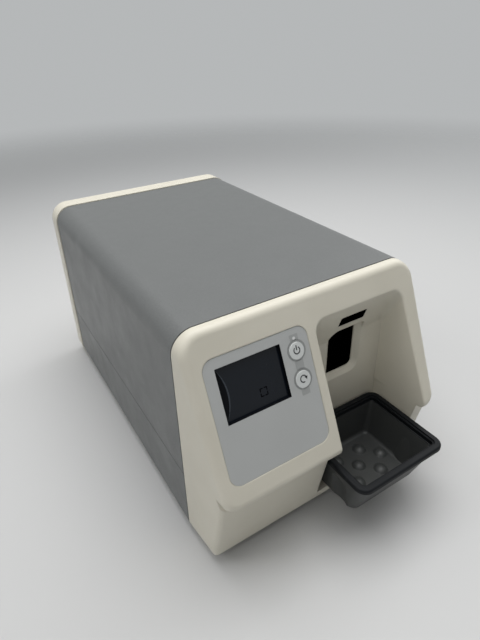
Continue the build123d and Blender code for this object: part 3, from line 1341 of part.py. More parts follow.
def main_board():
    """Control board with its processor, sockets and capacitors."""
    x = (BOARD_LEFT, BOARD_LEFT + MAIN_BOARD_WIDTH)
    y = (MAIN_BOARD_FRONT, MAIN_BOARD_FRONT + MAIN_BOARD_LENGTH)
    top = BOARD_LOW + BOARD_THICKNESS
    board = block(x, y, (BOARD_LOW, top))
    middle_x = (x[0] + x[1]) / 2
    for (width, length), start in (
        ((PROCESSOR_SIZE, PROCESSOR_SIZE), PROCESSOR_START),
        (MEMORY_SIZE, MEMORY_START),
    ):
        chip_x = (middle_x - width / 2, middle_x + width / 2)
        chip_y = (y[0] + start, y[0] + start + length)
        board = board + block(chip_x, chip_y, (top, top + CHIP_HEIGHT))
    plug_x = (x[1] - 1.5 * PLUG_SIZE[0], x[1] - PLUG_SIZE[0] / 2)
    for start in PLUG_STARTS:
        plug_y = (y[0] + start, y[0] + start + PLUG_SIZE[1])
        board = board + block(plug_x, plug_y, (top, top + PLUG_HEIGHT))
    for start in CAPACITOR_STARTS:
        z = (top, top + CAPACITOR_HEIGHT)
        board = board + bar_z(x[0] + CAPACITOR_INSET, y[1] - start, z, CAPACITOR_RADIUS)
    for cx, cy in board_corners():
        board = board - bar_z(cx, cy, (BOARD_LOW - 1.0, top + 1.0), MEDIUM_SHANK + 0.1)
    return board


def board_standoffs():
    posts = []
    for x, y in board_corners():
        post = bar_z(x, y, (SHEET, BOARD_LOW), STANDOFF_RADIUS)
        posts.append(post - bar_z(x, y, (BOARD_LOW - 5.0, BOARD_LOW + 1.0), MEDIUM_SHANK))
    return Compound(posts)


def board_screws():
    top = BOARD_LOW + BOARD_THICKNESS
    screws = []
    for x, y in board_corners():
        head = bar_z(x, y, (top, top + HEAD_HEIGHT), MEDIUM_HEAD)
        screws.append(head + bar_z(x, y, (BOARD_LOW - 4.0, top), MEDIUM_SHANK - FIT_GAP))
    return Compound(screws)


def power_supply():
    """Boxed power supply with a terminal block on its front."""
    x = (BOARD_LEFT, BOARD_LEFT + SUPPLY_WIDTH)
    y = (SUPPLY_BACK - SUPPLY_LENGTH, SUPPLY_BACK)
    body = block(x, y, (SHEET, SHEET + SUPPLY_HEIGHT))
    body = chamfer(body.edges().filter_by(Axis.Y).sort_by(Axis.Z)[2:], 2.0)
    return body + block((x[0] + 8.0, x[1] - 8.0), (y[0] - 8.0, y[0]), (SHEET + 14.0, SHEET + 26.0))


PIECES = [
    base_chassis,
    top_cover,
    front_bezel,
    rear_cap,
    keypad_overlay,
    display_window,
    display_module,
    display_board,
    display_screws,
    key_switches,
    power_key,
    return_key,
    status_light,
    collector_tray,
    slot_liner,
    shutter_door,
    shutter_pin,
    shutter_spring,
    carriage_bracket,
    guide_rods,
    lead_screw,
    screw_bearings,
    shaft_coupling,
    motor_shaft,
    stepper_motor,
    motor_screws,
    carriage,
    carriage_nut,
    plate_holder,
    position_sensor,
    optical_bench,
    bench_legs,
    bench_screws,
    polygon_motor,
    polygon_mirror,
    laser_module,
    laser_clamp,
    fold_mirror,
    scan_lens,
    lens_mount,
    light_guide,
    photomultiplier,
    tube_clamp,
    eraser_bracket,
    eraser_board,
    main_board,
    board_standoffs,
    board_screws,
    power_supply,
    connector_plate,
    power_inlet,
    switch_housing,
    switch_rocker,
    network_jack,
    rubber_feet,
    foot_screws,
    bezel_screws,
    rear_screws,
]


def main():
    os.makedirs("parts", exist_ok=True)
    to_row = Pos(0, -CENTRE_Y, FOOT_HEIGHT)
    for piece in PIECES:
        export_step(to_row * piece(), f"parts/{piece.__name__}.step")


if __name__ == "__main__":
    main()
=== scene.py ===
import json
import math

import bpy
from mathutils import Matrix, Vector


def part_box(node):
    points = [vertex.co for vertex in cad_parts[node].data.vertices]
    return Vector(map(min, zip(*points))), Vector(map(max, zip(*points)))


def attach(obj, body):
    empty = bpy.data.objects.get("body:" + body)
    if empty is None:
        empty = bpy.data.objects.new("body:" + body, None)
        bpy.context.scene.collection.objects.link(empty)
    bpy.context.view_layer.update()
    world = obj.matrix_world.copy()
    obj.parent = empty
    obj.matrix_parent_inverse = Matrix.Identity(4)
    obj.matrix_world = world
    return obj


# Phosphor plate scanner: its looks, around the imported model. Lengths are in metres.

# Camera fitted to the photograph, whose frame is 480 by 640 pixels
FRAME_WIDTH = 480
FRAME_HEIGHT = 640
CAMERA_PLACE = Vector((-0.1928, -0.3411, 0.3492))
CAMERA_FORWARD = Vector((0.4497, 0.7540, -0.4788))
CAMERA_ROLL = math.radians(-1.83)
FOCAL_PIXELS = 486.45
CENTRE_PIXEL = (234.57, 288.80)
SENSOR = 36.0

# Sizes of the design's surface details
RAKE = math.radians(24.0)
ACROSS = Vector((1, 0, 0))
UP = Vector((0, math.sin(RAKE), math.cos(RAKE)))
OUT = Vector((0, -math.cos(RAKE), math.sin(RAKE)))
FILM_LIFT = 0.00006
KEY_RADIUS = 0.0061
RING_RADIUS = 0.0076
BAND_HALF_WIDTH = 0.0034
BAND_OVERRUN = 0.0113
SYMBOL_RADIUS = 0.0024
SYMBOL_LINE = 0.0008
PANE_BORDER = 0.002
# Thickness of the black sheet on the window's walls, painted shade
SHADE_SHEET = 0.0003
# Bulge and width of the light curved line on the display pane, a painted reflection
REFLECTION_BULGE = 0.0052
REFLECTION_WIDTH = 0.0011
ICON_SIZE = 0.0058
ICON_PLACE = (0.0066, -0.0084)
ICON_LINE = 0.0006
ICON_ARM = 0.85
KEY_HOLE_GAP = 0.0003
LIGHT_HOLE_RADIUS = 0.0013
PIECE_GAP = 0.00002
TRAY_RIM_HEIGHT = 0.005
SEAM_WIDTH = 0.0009
SEAM_DEPTH = 0.0007
SIDE_SEAM_HEIGHT = 0.0008
TOP_CORNER = 0.0164
BASE_CORNER = 0.003
# Sizes of the near-black strips that paint shade into the seams
SEAM_SHADE_THICKNESS = 0.0012
SEAM_SHADE_GAP = 0.00004
SIDE_SEAM_SHADE_INSET = 0.0005
SIDE_SEAM_SHADE_BACK = 0.00146
EDGE_SOFTNESS = 0.0014

# Studio: reach and tones of the floor, its colour darkening away from the object as a painted fall-off of
# light; the background; and each lamp's place, aim, size and power
FLOOR_REACH = 4.0
FLOOR_FALLOFF_TONES = ((0.61, 0.612, 0.61), (0.50, 0.508, 0.512))
FLOOR_FALLOFF_SPAN = (0.3, 1.1)
FLOOR_FADE_SPAN = (0.9, 1.9)
AMBIENT_TONE = (0.985, 1.0, 0.995)
AMBIENT_STRENGTH = 0.2
BACKDROP_TONE = (0.465, 0.478, 0.483)
LAMPS = (
    ("top light", (0.05, 0.1, 1.3), (0.0, 0.0, 0.1), 1.2, 15.5),
    ("left light", (-1.05, 0.25, 1.0), (0.0, 0.0, 0.1), 0.5, 2.5),
    ("front light", (-0.9, -0.6, 1.1), (0.0, 0.0, 0.1), 0.5, 1.8),
    ("right light", (1.3, 0.2, 0.9), (0.0, 0.0, 0.1), 1.0, 5.0),
)


def shader(name, **inputs):
    """New material with a Principled shader, whose own sockets take the given values."""
    material = bpy.data.materials.new(name)
    material.use_nodes = True
    bsdf = material.node_tree.nodes["Principled BSDF"]
    for socket, value in inputs.items():
        key = socket.replace("_", " ")
        bsdf.inputs[key].default_value = (*value, 1.0) if isinstance(value, tuple) else value
    return material, material.node_tree, bsdf


def add_node(tree, kind, **settings):
    node = tree.nodes.new(kind)
    for key, value in settings.items():
        if key in node.inputs:
            node.inputs[key].default_value = value
        else:
            setattr(node, key, value)
    return node


def noise(tree, scale, detail=3.0, roughness=0.55):
    """Noise in the object's own metres."""
    place = add_node(tree, "ShaderNodeTexCoord")
    texture = add_node(tree, "ShaderNodeTexNoise", Scale=scale, Detail=detail, Roughness=roughness)
    tree.links.new(place.outputs["Object"], texture.inputs["Vector"])
    return texture


def spread(tree, source, low, high):
    """Maps a texture's middle range to values between low and high."""
    remap = add_node(tree, "ShaderNodeMapRange")
    remap.inputs["From Min"].default_value = 0.3
    remap.inputs["From Max"].default_value = 0.7
    remap.inputs["To Min"].default_value = low
    remap.inputs["To Max"].default_value = high
    tree.links.new(source.outputs["Fac"], remap.inputs["Value"])
    return remap


def tint(tree, bsdf, source, dark, light):
    """Varies the base colour a little between two tones."""
    mix = add_node(tree, "ShaderNodeMix", data_type="RGBA")
    mix.inputs["A"].default_value = (*dark, 1.0)
    mix.inputs["B"].default_value = (*light, 1.0)
    tree.links.new(spread(tree, source, 0.0, 1.0).outputs["Result"], mix.inputs["Factor"])
    tree.links.new(mix.outputs["Result"], bsdf.inputs["Base Color"])


def grain(tree, bsdf, source, strength, distance, softness=0.0):
    """Bumps the surface by a texture, over edges rounded by softness."""
    bump = add_node(tree, "ShaderNodeBump", Strength=strength, Distance=distance)
    tree.links.new(source.outputs["Fac"], bump.inputs["Height"])
    if softness:
        bevel = add_node(tree, "ShaderNodeBevel", samples=6, Radius=softness)
        tree.links.new(bevel.outputs["Normal"], bump.inputs["Normal"])
    tree.links.new(bump.outputs["Normal"], bsdf.inputs["Normal"])


def moulded(name, dark, light, roughness, bump=0.12, scale=900.0, softness=0.0, **inputs):
    """Moulded plastic: slow tone changes, a fine grain and uneven gloss."""
    material, tree, bsdf = shader(name, **inputs)
    tint(tree, bsdf, noise(tree, 22.0, 2.0), dark, light)
    fine = noise(tree, scale, 3.0)
    grain(tree, bsdf, fine, bump, 0.0002, softness)
    gloss = spread(tree, noise(tree, 60.0, 4.0), roughness - 0.05, roughness + 0.06)
    tree.links.new(gloss.outputs["Result"], bsdf.inputs["Roughness"])
    return material


def painted_sheet(name, dark, light, roughness, softness=0.0):
    """Grey powder coat: a fine orange peel with darker and lighter specks."""
    material, tree, bsdf = shader(name, Metallic=0.0, Specular_IOR_Level=0.5)
    tint(tree, bsdf, noise(tree, 1500.0, 4.0, 0.7), dark, light)
    grain(tree, bsdf, noise(tree, 1100.0, 2.0), 0.22, 0.00025, softness)
    gloss = spread(tree, noise(tree, 45.0, 5.0), roughness - 0.05, roughness + 0.07)
    tree.links.new(gloss.outputs["Result"], bsdf.inputs["Roughness"])
    return material


def metal(name, dark, light, roughness, stretch=(1.0, 1.0, 1.0)):
    """Bare metal with fine marks, drawn out along one way."""
    material, tree, bsdf = shader(name, Metallic=1.0)
    place = add_node(tree, "ShaderNodeTexCoord")
    mapping = add_node(tree, "ShaderNodeMapping")
    mapping.inputs["Scale"].default_value = stretch
    texture = add_node(tree, "ShaderNodeTexNoise", Scale=420.0, Detail=4.0)
    tree.links.new(place.outputs["Object"], mapping.inputs["Vector"])
    tree.links.new(mapping.outputs["Vector"], texture.inputs["Vector"])
    tint(tree, bsdf, texture, dark, light)
    gloss = spread(tree, texture, roughness - 0.06, roughness + 0.08)
    tree.links.new(gloss.outputs["Result"], bsdf.inputs["Roughness"])
    return material


def clear(name, colour, roughness, transmission):
    """Glass or a clear moulding, with faint unevenness."""
    material, tree, bsdf = shader(name, Base_Color=colour, Transmission_Weight=transmission, IOR=1.5)
    grain(tree, bsdf, noise(tree, 30.0, 2.0), 0.05, 0.0002)
    gloss = spread(tree, noise(tree, 200.0, 3.0), roughness, roughness + 0.05)
    tree.links.new(gloss.outputs["Result"], bsdf.inputs["Roughness"])
    return material


def board(name):
    """Green circuit board with lighter tracks."""
    material, tree, bsdf = shader(name, Roughness=0.35)
    place = add_node(tree, "ShaderNodeTexCoord")
    cells = add_node(tree, "ShaderNodeTexBrick", Scale=160.0)
    cells.inputs["Color1"].default_value = (0.012, 0.075, 0.035, 1.0)
    cells.inputs["Color2"].default_value = (0.010, 0.060, 0.028, 1.0)
    cells.inputs["Mortar"].default_value = (0.03, 0.14, 0.06, 1.0)
    tree.links.new(place.outputs["Object"], cells.inputs["Vector"])
    tree.links.new(cells.outputs["Color"], bsdf.inputs["Base Color"])
    grain(tree, bsdf, noise(tree, 700.0), 0.1, 0.0001)
    return material


def tray_plastic(rim_low):
    """Black moulding of the tray: its grained inside looks greyer than the smooth rim."""
    material, tree, bsdf = shader("tray plastic")
    place = add_node(tree, "ShaderNodeTexCoord")
    height = add_node(tree, "ShaderNodeSeparateXYZ")
    tree.links.new(place.outputs["Object"], height.inputs["Vector"])
    above = add_node(tree, "ShaderNodeMapRange")
    above.inputs["From Min"].default_value = rim_low - 0.0008
    above.inputs["From Max"].default_value = rim_low + 0.0002
    tree.links.new(height.outputs["Z"], above.inputs["Value"])
    mix = add_node(tree, "ShaderNodeMix", data_type="RGBA")
    mix.inputs["A"].default_value = (0.052, 0.055, 0.054, 1.0)
    mix.inputs["B"].default_value = (0.006, 0.007, 0.0085, 1.0)
    tree.links.new(above.outputs["Result"], mix.inputs["Factor"])
    tree.links.new(mix.outputs["Result"], bsdf.inputs["Base Color"])
    shine = add_node(tree, "ShaderNodeMapRange")
    shine.inputs["To Min"].default_value = 0.5
    shine.inputs["To Max"].default_value = 0.16
    tree.links.new(above.outputs["Result"], shine.inputs["Value"])
    tree.links.new(shine.outputs["Result"], bsdf.inputs["Specular IOR Level"])
    grain(tree, bsdf, noise(tree, 1000.0), 0.12, 0.0002, 0.0006)
    gloss = spread(tree, noise(tree, 60.0, 4.0), 0.42, 0.52)
    tree.links.new(gloss.outputs["Result"], bsdf.inputs["Roughness"])
    return material


def make_materials():
    """One material for each slot of the record."""
    return {
        "white_shell": moulded(
            "white shell", (0.665, 0.632, 0.535), (0.705, 0.672, 0.575), 0.40, 0.05, 1200.0, EDGE_SOFTNESS
        ),
        "grey_cover": painted_sheet("grey cover", (0.115, 0.12, 0.119), (0.165, 0.171, 0.17), 0.42, 0.0006),
        "panel_film": moulded("panel film", (0.465, 0.476, 0.47), (0.49, 0.502, 0.496), 0.45, 0.04, 2200.0),
        "window_tint": moulded(
            "window tint", (0.005, 0.0075, 0.012), (0.007, 0.0095, 0.0145), 0.2, 0.01, 300.0,
            Specular_IOR_Level=0.3,
        ),
        "key_face": moulded("key face", (0.66, 0.68, 0.67), (0.70, 0.72, 0.71), 0.4, 0.03),
        "light_pipe": clear("light pipe", (0.85, 0.86, 0.85), 0.2, 0.1),
        "black_plastic": moulded(
            "black plastic", (0.012, 0.0125, 0.0135), (0.018, 0.0185, 0.02), 0.42, 0.10, 1000.0, 0.0006
        ),
        "liner_black": moulded(
            "liner black", (0.0004, 0.0004, 0.0004), (0.0008, 0.0008, 0.0008), 0.9, 0.1,
            Specular_IOR_Level=0.0,
        ),
        "dark_rubber": moulded("dark rubber", (0.012, 0.012, 0.012), (0.02, 0.02, 0.02), 0.8, 0.3),
        "sheet_steel": metal("sheet steel", (0.42, 0.43, 0.44), (0.55, 0.56, 0.57), 0.34, (1.0, 6.0, 6.0)),
        "cast_aluminium": metal("cast aluminium", (0.50, 0.51, 0.53), (0.60, 0.61, 0.63), 0.42),
        "ground_steel": metal("ground steel", (0.50, 0.51, 0.53), (0.66, 0.67, 0.69), 0.2, (8.0, 0.5, 8.0)),
        "bearing_bronze": metal("bearing bronze", (0.45, 0.30, 0.13), (0.56, 0.40, 0.20), 0.32),
        "circuit_board": board("circuit board"),
        "display_glass": moulded("display glass", (0.01, 0.012, 0.014), (0.016, 0.018, 0.02), 0.12, 0.01),
        "motor_paint": painted_sheet("motor paint", (0.010, 0.010, 0.011), (0.02, 0.02, 0.021), 0.4),
        "optic_glass": clear("optic glass", (0.90, 0.95, 0.97), 0.02, 0.9),
        "mirror_face": metal("mirror face", (0.82, 0.83, 0.84), (0.88, 0.89, 0.90), 0.1),
        "tube_shield": painted_sheet("tube shield", (0.018, 0.018, 0.019), (0.03, 0.03, 0.031), 0.5),
    }


def dress_nodes(frame, materials):
    """Gives every node the material of its slot, and smooth normals on its curved faces."""
    for entry in frame["record"]["subparts"]:
        node = frame["nodes"][entry["node"]]
        node.data.materials.clear()
        node.data.materials.append(materials[entry["material_slot"]])
        for face in node.data.polygons:
            face.use_smooth = True
        node.data.set_sharp_from_angle(angle=math.radians(32))
    tray = frame["nodes"]["collector_tray"]
    tray.data.materials[0] = tray_plastic(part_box("collector_tray")[1].z - TRAY_RIM_HEIGHT)


def face_matrix(origin):
    """Turns points across, up and out of the raked panel into the object's own frame."""
    turned = Matrix((ACROSS, UP, OUT)).transposed().to_4x4()
    return Matrix.Translation(origin) @ turned


def flat_shape(name, loops, origin, lift, material, body="housing"):
    """Thin flat shape on the panel or its window pane, for print and for painted shade and reflection:
    loops of (across, up) points, the later ones as holes.
    """
    curve = bpy.data.curves.new(name, "CURVE")
    curve.dimensions = "2D"
    curve.fill_mode = "BOTH"
    for points in loops:
        spline = curve.splines.new("POLY")
        spline.points.add(len(points) - 1)
        for point, (x, y) in zip(spline.points, points):
            point.co = (x, y, 0, 1)
        spline.use_cyclic_u = True
    curve.extrude = FILM_LIFT / 2
    drawn = bpy.data.objects.new(name, curve)
    bpy.context.scene.collection.objects.link(drawn)
    bpy.context.view_layer.update()
    mesh = bpy.data.meshes.new_from_object(drawn.evaluated_get(bpy.context.evaluated_depsgraph_get()))
    bpy.data.objects.remove(drawn)
    piece = bpy.data.objects.new(name, mesh)
    bpy.context.scene.collection.objects.link(piece)
    mesh.transform(face_matrix(origin + OUT * lift))
    mesh.materials.clear()
    mesh.materials.append(material)
    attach(piece, body)
    return piece


def circle(radius, middle=(0.0, 0.0), steps=72, start=0.0, end=2 * math.pi):
    closed = abs(end - start - 2 * math.pi) < 1e-6
    count = steps if closed else steps + 1
    return [
        (
            middle[0] + radius * math.cos(start + (end - start) * i / steps),
            middle[1] + radius * math.sin(start + (end - start) * i / steps),
        )
        for i in range(count)
    ]


def arc_band(radius, width, start, end):
    """Closed outline of an arc with a width."""
    outer = circle(radius + width / 2, steps=40, start=start, end=end)
    inner = circle(radius - width / 2, steps=40, start=start, end=end)
    return outer + inner[::-1]


def on_panel(point, reach):
    """The point moved along the panel's normal to a reach."""
    return point + OUT * (reach - point.dot(OUT))


def reach_of(node):
    """How far a node's outermost point lies along the panel's normal."""
    return max(v.co.dot(OUT) for v in bpy.data.objects[node].data.vertices)


def key_place(node):
    """Middle of a key's crown on its outer face."""
    low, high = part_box(node)
    return on_panel((low + high) / 2, reach_of(node))


def print_panel():
    """Rings round the keys, the band that links them, and the keys' symbols."""
    ring_tone = moulded("print ring", (0.27, 0.28, 0.275), (0.30, 0.31, 0.305), 0.45, 0.03)
    band_tone = moulded("print band", (0.36, 0.37, 0.365), (0.39, 0.40, 0.395), 0.45, 0.03)
    symbol_tone = moulded("print dark", (0.02, 0.021, 0.023), (0.028, 0.029, 0.031), 0.45, 0.03)
    reach = reach_of("keypad_overlay")
    power = on_panel(key_place("power_key"), reach)
    again = on_panel(key_place("return_key"), reach)
    hole = KEY_RADIUS + KEY_HOLE_GAP
    pitch = (power - again).length
    half = BAND_HALF_WIDTH
    keep = math.sqrt(RING_RADIUS**2 - half**2) + 0.0001
    runs = {
        "band_middle": (keep - pitch, -keep),
        "band_top": (keep, BAND_OVERRUN),
        "band_foot": (-pitch - BAND_OVERRUN, -pitch - keep),
    }
    light_low, light_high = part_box("status_light")
    light = on_panel((light_low + light_high) / 2, reach)
    light_at = (light - power).dot(UP)
    for name, (low, high) in runs.items():
        loops = [[(-half, low), (half, low), (half, high), (-half, high)]]
        if low < light_at < high:
            loops.append(circle(LIGHT_HOLE_RADIUS, (0.0, light_at), 32))
        flat_shape(name, loops, power, FILM_LIFT, band_tone)
    for name, place in (("ring_of_power_key", power), ("ring_of_return_key", again)):
        loops = [circle(RING_RADIUS), circle(hole)]
        flat_shape(name, loops, place, FILM_LIFT, ring_tone)

    gap = math.radians(36)
    top = math.pi / 2
    arc = arc_band(SYMBOL_RADIUS, SYMBOL_LINE, top + gap, top - gap + 2 * math.pi)
    half_line = SYMBOL_LINE / 2
    bar_top = SYMBOL_RADIUS * 1.5
    bar = [(-half_line, 0.0002), (half_line, 0.0002), (half_line, bar_top), (-half_line, bar_top)]
    place = key_place("power_key")
    for name, shape in (("power_symbol_arc", arc), ("power_symbol_bar", bar)):
        flat_shape(name, [shape], place, FILM_LIFT, symbol_tone, "power_button")
    turn = arc_band(SYMBOL_RADIUS, SYMBOL_LINE, math.radians(22), math.radians(290))
    head = [
        (SYMBOL_RADIUS - 0.0013, 0.0010),
        (SYMBOL_RADIUS + 0.0012, 0.0012),
        (SYMBOL_RADIUS + 0.0003, -0.0012),
    ]
    place = key_place("return_key")
    for name, shape in (("return_symbol_arc", turn), ("return_symbol_head", head)):
        flat_shape(name, [shape], place, FILM_LIFT, symbol_tone, "return_button")


def window_size():
    """Middle of the window on its pane, and half its width and height."""
    low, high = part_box("display_window")
    points = [v.co for v in bpy.data.objects["display_window"].data.vertices]
    heights = [p.dot(UP) for p in points]
    half_x = (high.x - low.x) / 2 - PANE_BORDER
    half_y = (max(heights) - min(heights)) / 2 - PANE_BORDER
    return on_panel((low + high) / 2, reach_of("display_window")), half_x, half_y


def dress_window():
    """Black sheet on the window's walls and black crescent on its pane, both painted shade; a light curved
    line on the pane, a painted reflection; and a faint unlit icon.
    """
    centre, half_x, half_y = window_size()
    # Black for painted shade: a thin sheet on the window's walls and a crescent on the pane darken them as
    # shade does
    black = moulded(
        "window shade black", (0.002, 0.0025, 0.004), (0.003, 0.0035, 0.005), 0.6, 0.05, Specular_IOR_Level=0.1
    )
    # Tone of a painted reflection: a light curved line on the dark pane
    painted_reflection_tone = moulded("painted_reflection", (0.026, 0.034, 0.044), (0.032, 0.040, 0.052), 0.3, 0.02)
    icon_tone = moulded(
        "icon", (0.0005, 0.0005, 0.001), (0.001, 0.001, 0.0015), 0.6, 0.02, Specular_IOR_Level=0.0
    )
    matrix = face_matrix(centre)
    depth = reach_of("keypad_overlay") - reach_of("display_window")
    # A thin black sheet on the window's four walls, painted shade
    outer = (half_x - PIECE_GAP, half_y - PIECE_GAP)
    inner = (outer[0] - SHADE_SHEET, outer[1] - SHADE_SHEET)
    points = []
    for height in (PIECE_GAP, depth):
        for w, h in (outer, inner):
            points += [(-w, -h, height), (w, -h, height), (w, h, height), (-w, h, height)]
    faces = []
    for k in range(4):
        n = (k + 1) % 4
        faces += [
            (k, n, 8 + n, 8 + k),
            (4 + n, 4 + k, 12 + k, 12 + n),
            (8 + k, 8 + n, 12 + n, 12 + k),
            (n, k, 4 + k, 4 + n),
        ]
    add_piece("window_wall_shade", points, faces, black, matrix)

    # A black crescent along the pane's left edge, painted shade of the window's left wall
    width = SHADE_SHEET + 0.0002
    left = -half_x + width
    radius = (half_y**2 + REFLECTION_BULGE**2) / (2 * REFLECTION_BULGE)
    reach = math.asin(half_y / radius) * 0.985
    middle_x = left + REFLECTION_BULGE - radius
    curve = circle(radius, (middle_x, 0.0), 40, -reach, reach)
    crescent = [(max(x, left), y) for x, y in curve]
    filled = crescent + [(left, curve[-1][1]), (left, curve[0][1])]
    flat_shape("window_shade_crescent", [filled], centre, FILM_LIFT, black)
    # Painted reflection: a thin light line along the crescent's curved edge
    steps = len(curve) - 1
    outer_edge = [
        (max(x, left) + REFLECTION_WIDTH * math.sin(math.pi * k / steps), y) for k, (x, y) in enumerate(curve)
    ]
    painted_reflection = outer_edge + crescent[::-1]
    flat_shape("window_painted_reflection", [painted_reflection], centre, FILM_LIFT * 2, painted_reflection_tone)

    side = ICON_SIZE / 2
    line = ICON_LINE
    arm = side * ICON_ARM
    for number, (sx, sy) in enumerate(((1, 1), (-1, 1), (-1, -1), (1, -1))):
        corner = [(0, 0), (-arm, 0), (-arm, -line), (-line, -line), (-line, -arm), (0, -arm)]
        shape = [
            (ICON_PLACE[0] + sx * (side + x), ICON_PLACE[1] + sy * (side + y)) for x, y in corner
        ]
        flat_shape(f"icon_corner_{number}", [shape], centre, FILM_LIFT, icon_tone)


def add_piece(name, points, faces, material, matrix=None, body="housing"):
    """Small solid drawn from its corners."""
    mesh = bpy.data.meshes.new(name)
    mesh.from_pydata(points, [], faces)
    if matrix is not None:
        mesh.transform(matrix)
    mesh.validate()
    mesh.materials.append(material)
    piece = bpy.data.objects.new(name, mesh)
    bpy.context.scene.collection.objects.link(piece)
    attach(piece, body)
    return piece


def section(inset):
    """Outline of the housing across x and z, moved in by inset."""
    low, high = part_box("top_cover")
    base_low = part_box("base_chassis")[0].z
    half = high.x - inset
    points = []
    for cx, cz, radius, start in (
        (half, high.z - inset, TOP_CORNER - inset, 0),
        (-half, high.z - inset, TOP_CORNER - inset, 1),
        (-half, base_low + inset, BASE_CORNER - inset, 2),
        (half, base_low + inset, BASE_CORNER - inset, 3),
    ):
        centre = (cx - math.copysign(radius, cx), cz - radius if start < 2 else cz + radius)
        begin = start * math.pi / 2
        points += circle(radius, centre, 12, begin, begin + math.pi / 2)
    return points


def fill_seams():
    """Near-black strips, sunk a little in the gaps round the bezel, round the rear cap and along the sides:
    painted shade in the seams.
    """
    # Near-black material of the seam strips: painted shade in the gaps
    rubber = moulded("seam_shade", (0.004, 0.004, 0.004), (0.006, 0.006, 0.006), 0.9, 0.1)
    low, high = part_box("top_cover")
    for name, start, end in (
        ("front_seam", low.y - SEAM_WIDTH, low.y),
        ("rear_seam", high.y, high.y + SEAM_WIDTH),
    ):
        outer, inner = section(SEAM_DEPTH), section(SEAM_DEPTH + SEAM_SHADE_THICKNESS)
        count = len(outer)
        points = []
        for y in (start + SEAM_SHADE_GAP, end - SEAM_SHADE_GAP):
            points += [(x, y, z) for x, z in outer] + [(x, y, z) for x, z in inner]
        faces = []
        for k in range(count):
            n = (k + 1) % count
            faces += [
                (k, n, 2 * count + n, 2 * count + k),
                (count + n, count + k, 3 * count + k, 3 * count + n),
                (n, k, count + k, count + n),
                (2 * count + k, 2 * count + n, 3 * count + n, 3 * count + k),
            ]
        add_piece(name, points, faces, rubber)
    top = low.z - SEAM_SHADE_GAP
    bottom = low.z - SIDE_SEAM_HEIGHT + SEAM_SHADE_GAP
    front, rear = low.y + 0.0002, high.y - 0.0002
    for name, side in (("left_seam", -1), ("right_seam", 1)):
        near, far = side * (high.x - SIDE_SEAM_SHADE_INSET), side * (high.x - SIDE_SEAM_SHADE_BACK)
        points = [
            (x, y, z)
            for x in (near, far)
            for y, z in ((front, bottom), (rear, bottom), (rear, top), (front, top))
        ]
        faces = [(0, 1, 2, 3), (7, 6, 5, 4)]
        faces += [(k, k + 4, (k + 1) % 4 + 4, (k + 1) % 4) for k in range(4)]
        add_piece(name, points, faces, rubber)


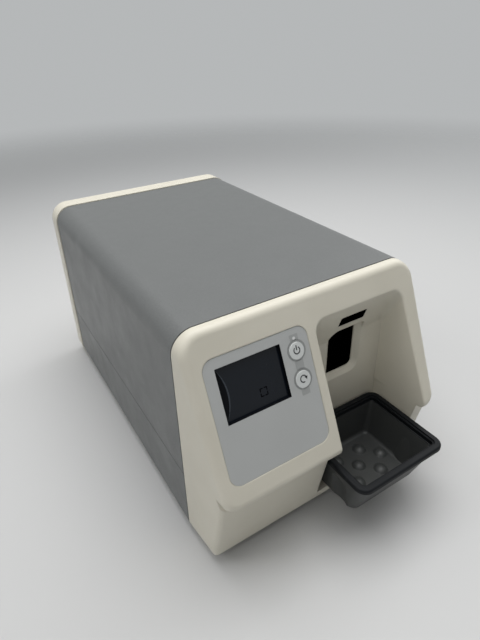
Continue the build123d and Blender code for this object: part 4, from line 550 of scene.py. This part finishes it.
def build_studio():
    """Pale floor, lighter in colour near the object as a painted pool of light, that fades into a pale
    background, with lamps overhead and at each side.
    """
    mesh = bpy.data.meshes.new("floor")
    reach = FLOOR_REACH
    corners = [(-reach, -reach, 0.0), (reach, -reach, 0.0), (reach, reach, 0.0), (-reach, reach, 0.0)]
    mesh.from_pydata(corners, [], [(0, 1, 2, 3)])
    floor = bpy.data.objects.new("floor", mesh)
    bpy.context.scene.collection.objects.link(floor)
    material, tree, bsdf = shader("floor", Roughness=0.8, Specular_IOR_Level=0.2)
    place = add_node(tree, "ShaderNodeTexCoord")
    away = add_node(tree, "ShaderNodeVectorMath", operation="LENGTH")
    tree.links.new(place.outputs["Object"], away.inputs[0])
    # Painted pool of light: the floor's colour darkens with distance from the object
    tones = add_node(tree, "ShaderNodeMapRange", interpolation_type="SMOOTHSTEP")
    tones.inputs["From Min"].default_value = FLOOR_FALLOFF_SPAN[0]
    tones.inputs["From Max"].default_value = FLOOR_FALLOFF_SPAN[1]
    tree.links.new(away.outputs["Value"], tones.inputs["Value"])
    mix = add_node(tree, "ShaderNodeMix", data_type="RGBA")
    mix.inputs["A"].default_value = (*FLOOR_FALLOFF_TONES[0], 1.0)
    mix.inputs["B"].default_value = (*FLOOR_FALLOFF_TONES[1], 1.0)
    tree.links.new(tones.outputs["Result"], mix.inputs["Factor"])
    tree.links.new(mix.outputs["Result"], bsdf.inputs["Base Color"])
    grain(tree, bsdf, noise(tree, 400.0), 0.02, 0.0002)
    fade = add_node(tree, "ShaderNodeMapRange", interpolation_type="SMOOTHSTEP")
    fade.inputs["From Min"].default_value = FLOOR_FADE_SPAN[0]
    fade.inputs["From Max"].default_value = FLOOR_FADE_SPAN[1]
    fade.inputs["To Min"].default_value = 1.0
    fade.inputs["To Max"].default_value = 0.0
    tree.links.new(away.outputs["Value"], fade.inputs["Value"])
    tree.links.new(fade.outputs["Result"], bsdf.inputs["Alpha"])
    mesh.materials.append(material)

    world = bpy.data.worlds.new("studio")
    world.use_nodes = True
    bpy.context.scene.world = world
    tree = world.node_tree
    ambient = tree.nodes["Background"]
    ambient.inputs["Color"].default_value = (*AMBIENT_TONE, 1.0)
    ambient.inputs["Strength"].default_value = AMBIENT_STRENGTH
    backdrop = add_node(tree, "ShaderNodeBackground")
    backdrop.inputs["Color"].default_value = (*BACKDROP_TONE, 1.0)
    path = add_node(tree, "ShaderNodeLightPath")
    direct = add_node(tree, "ShaderNodeMath", operation="MAXIMUM")
    tree.links.new(path.outputs["Is Camera Ray"], direct.inputs[0])
    tree.links.new(path.outputs["Is Glossy Ray"], direct.inputs[1])
    through = add_node(tree, "ShaderNodeMath", operation="MAXIMUM")
    tree.links.new(direct.outputs["Value"], through.inputs[0])
    tree.links.new(path.outputs["Is Transmission Ray"], through.inputs[1])
    either = add_node(tree, "ShaderNodeMixShader")
    tree.links.new(through.outputs["Value"], either.inputs["Fac"])
    tree.links.new(ambient.outputs["Background"], either.inputs[1])
    tree.links.new(backdrop.outputs["Background"], either.inputs[2])
    tree.links.new(either.outputs["Shader"], tree.nodes["World Output"].inputs["Surface"])

    for name, place, aim, size, power in LAMPS:
        data = bpy.data.lights.new(name, "AREA")
        data.size = size
        data.energy = power
        lamp = bpy.data.objects.new(name, data)
        lamp.location = place
        lamp.rotation_euler = (Vector(aim) - Vector(place)).to_track_quat("-Z", "Y").to_euler()
        bpy.context.scene.collection.objects.link(lamp)
    bpy.context.scene.view_settings.view_transform = "Standard"


def place_camera():
    """Camera at the photograph's viewing angle."""
    data = bpy.data.cameras.new("camera")
    data.sensor_width = SENSOR
    longest = max(FRAME_WIDTH, FRAME_HEIGHT)
    data.lens = FOCAL_PIXELS / longest * SENSOR
    data.shift_x = (FRAME_WIDTH / 2 - CENTRE_PIXEL[0]) / longest
    data.shift_y = (CENTRE_PIXEL[1] - FRAME_HEIGHT / 2) / longest
    data.clip_start = 0.01
    camera = bpy.data.objects.new("camera", data)
    level = CAMERA_FORWARD.to_track_quat("-Z", "Y").to_matrix()
    camera.matrix_world = Matrix.Translation(CAMERA_PLACE) @ (
        level @ Matrix.Rotation(CAMERA_ROLL, 3, "Z")
    ).to_4x4()
    bpy.context.scene.collection.objects.link(camera)
    bpy.context.scene.camera = camera


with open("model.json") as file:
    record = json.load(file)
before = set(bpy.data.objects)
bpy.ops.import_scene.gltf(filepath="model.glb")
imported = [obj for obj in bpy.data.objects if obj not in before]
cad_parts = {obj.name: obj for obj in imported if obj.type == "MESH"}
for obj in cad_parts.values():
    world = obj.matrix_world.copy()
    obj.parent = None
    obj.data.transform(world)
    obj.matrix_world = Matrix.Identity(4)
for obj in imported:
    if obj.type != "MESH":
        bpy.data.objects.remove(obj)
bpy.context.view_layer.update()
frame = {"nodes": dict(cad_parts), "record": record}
materials = make_materials()
dress_nodes(frame, materials)
print_panel()
dress_window()
fill_seams()
build_studio()
place_camera()
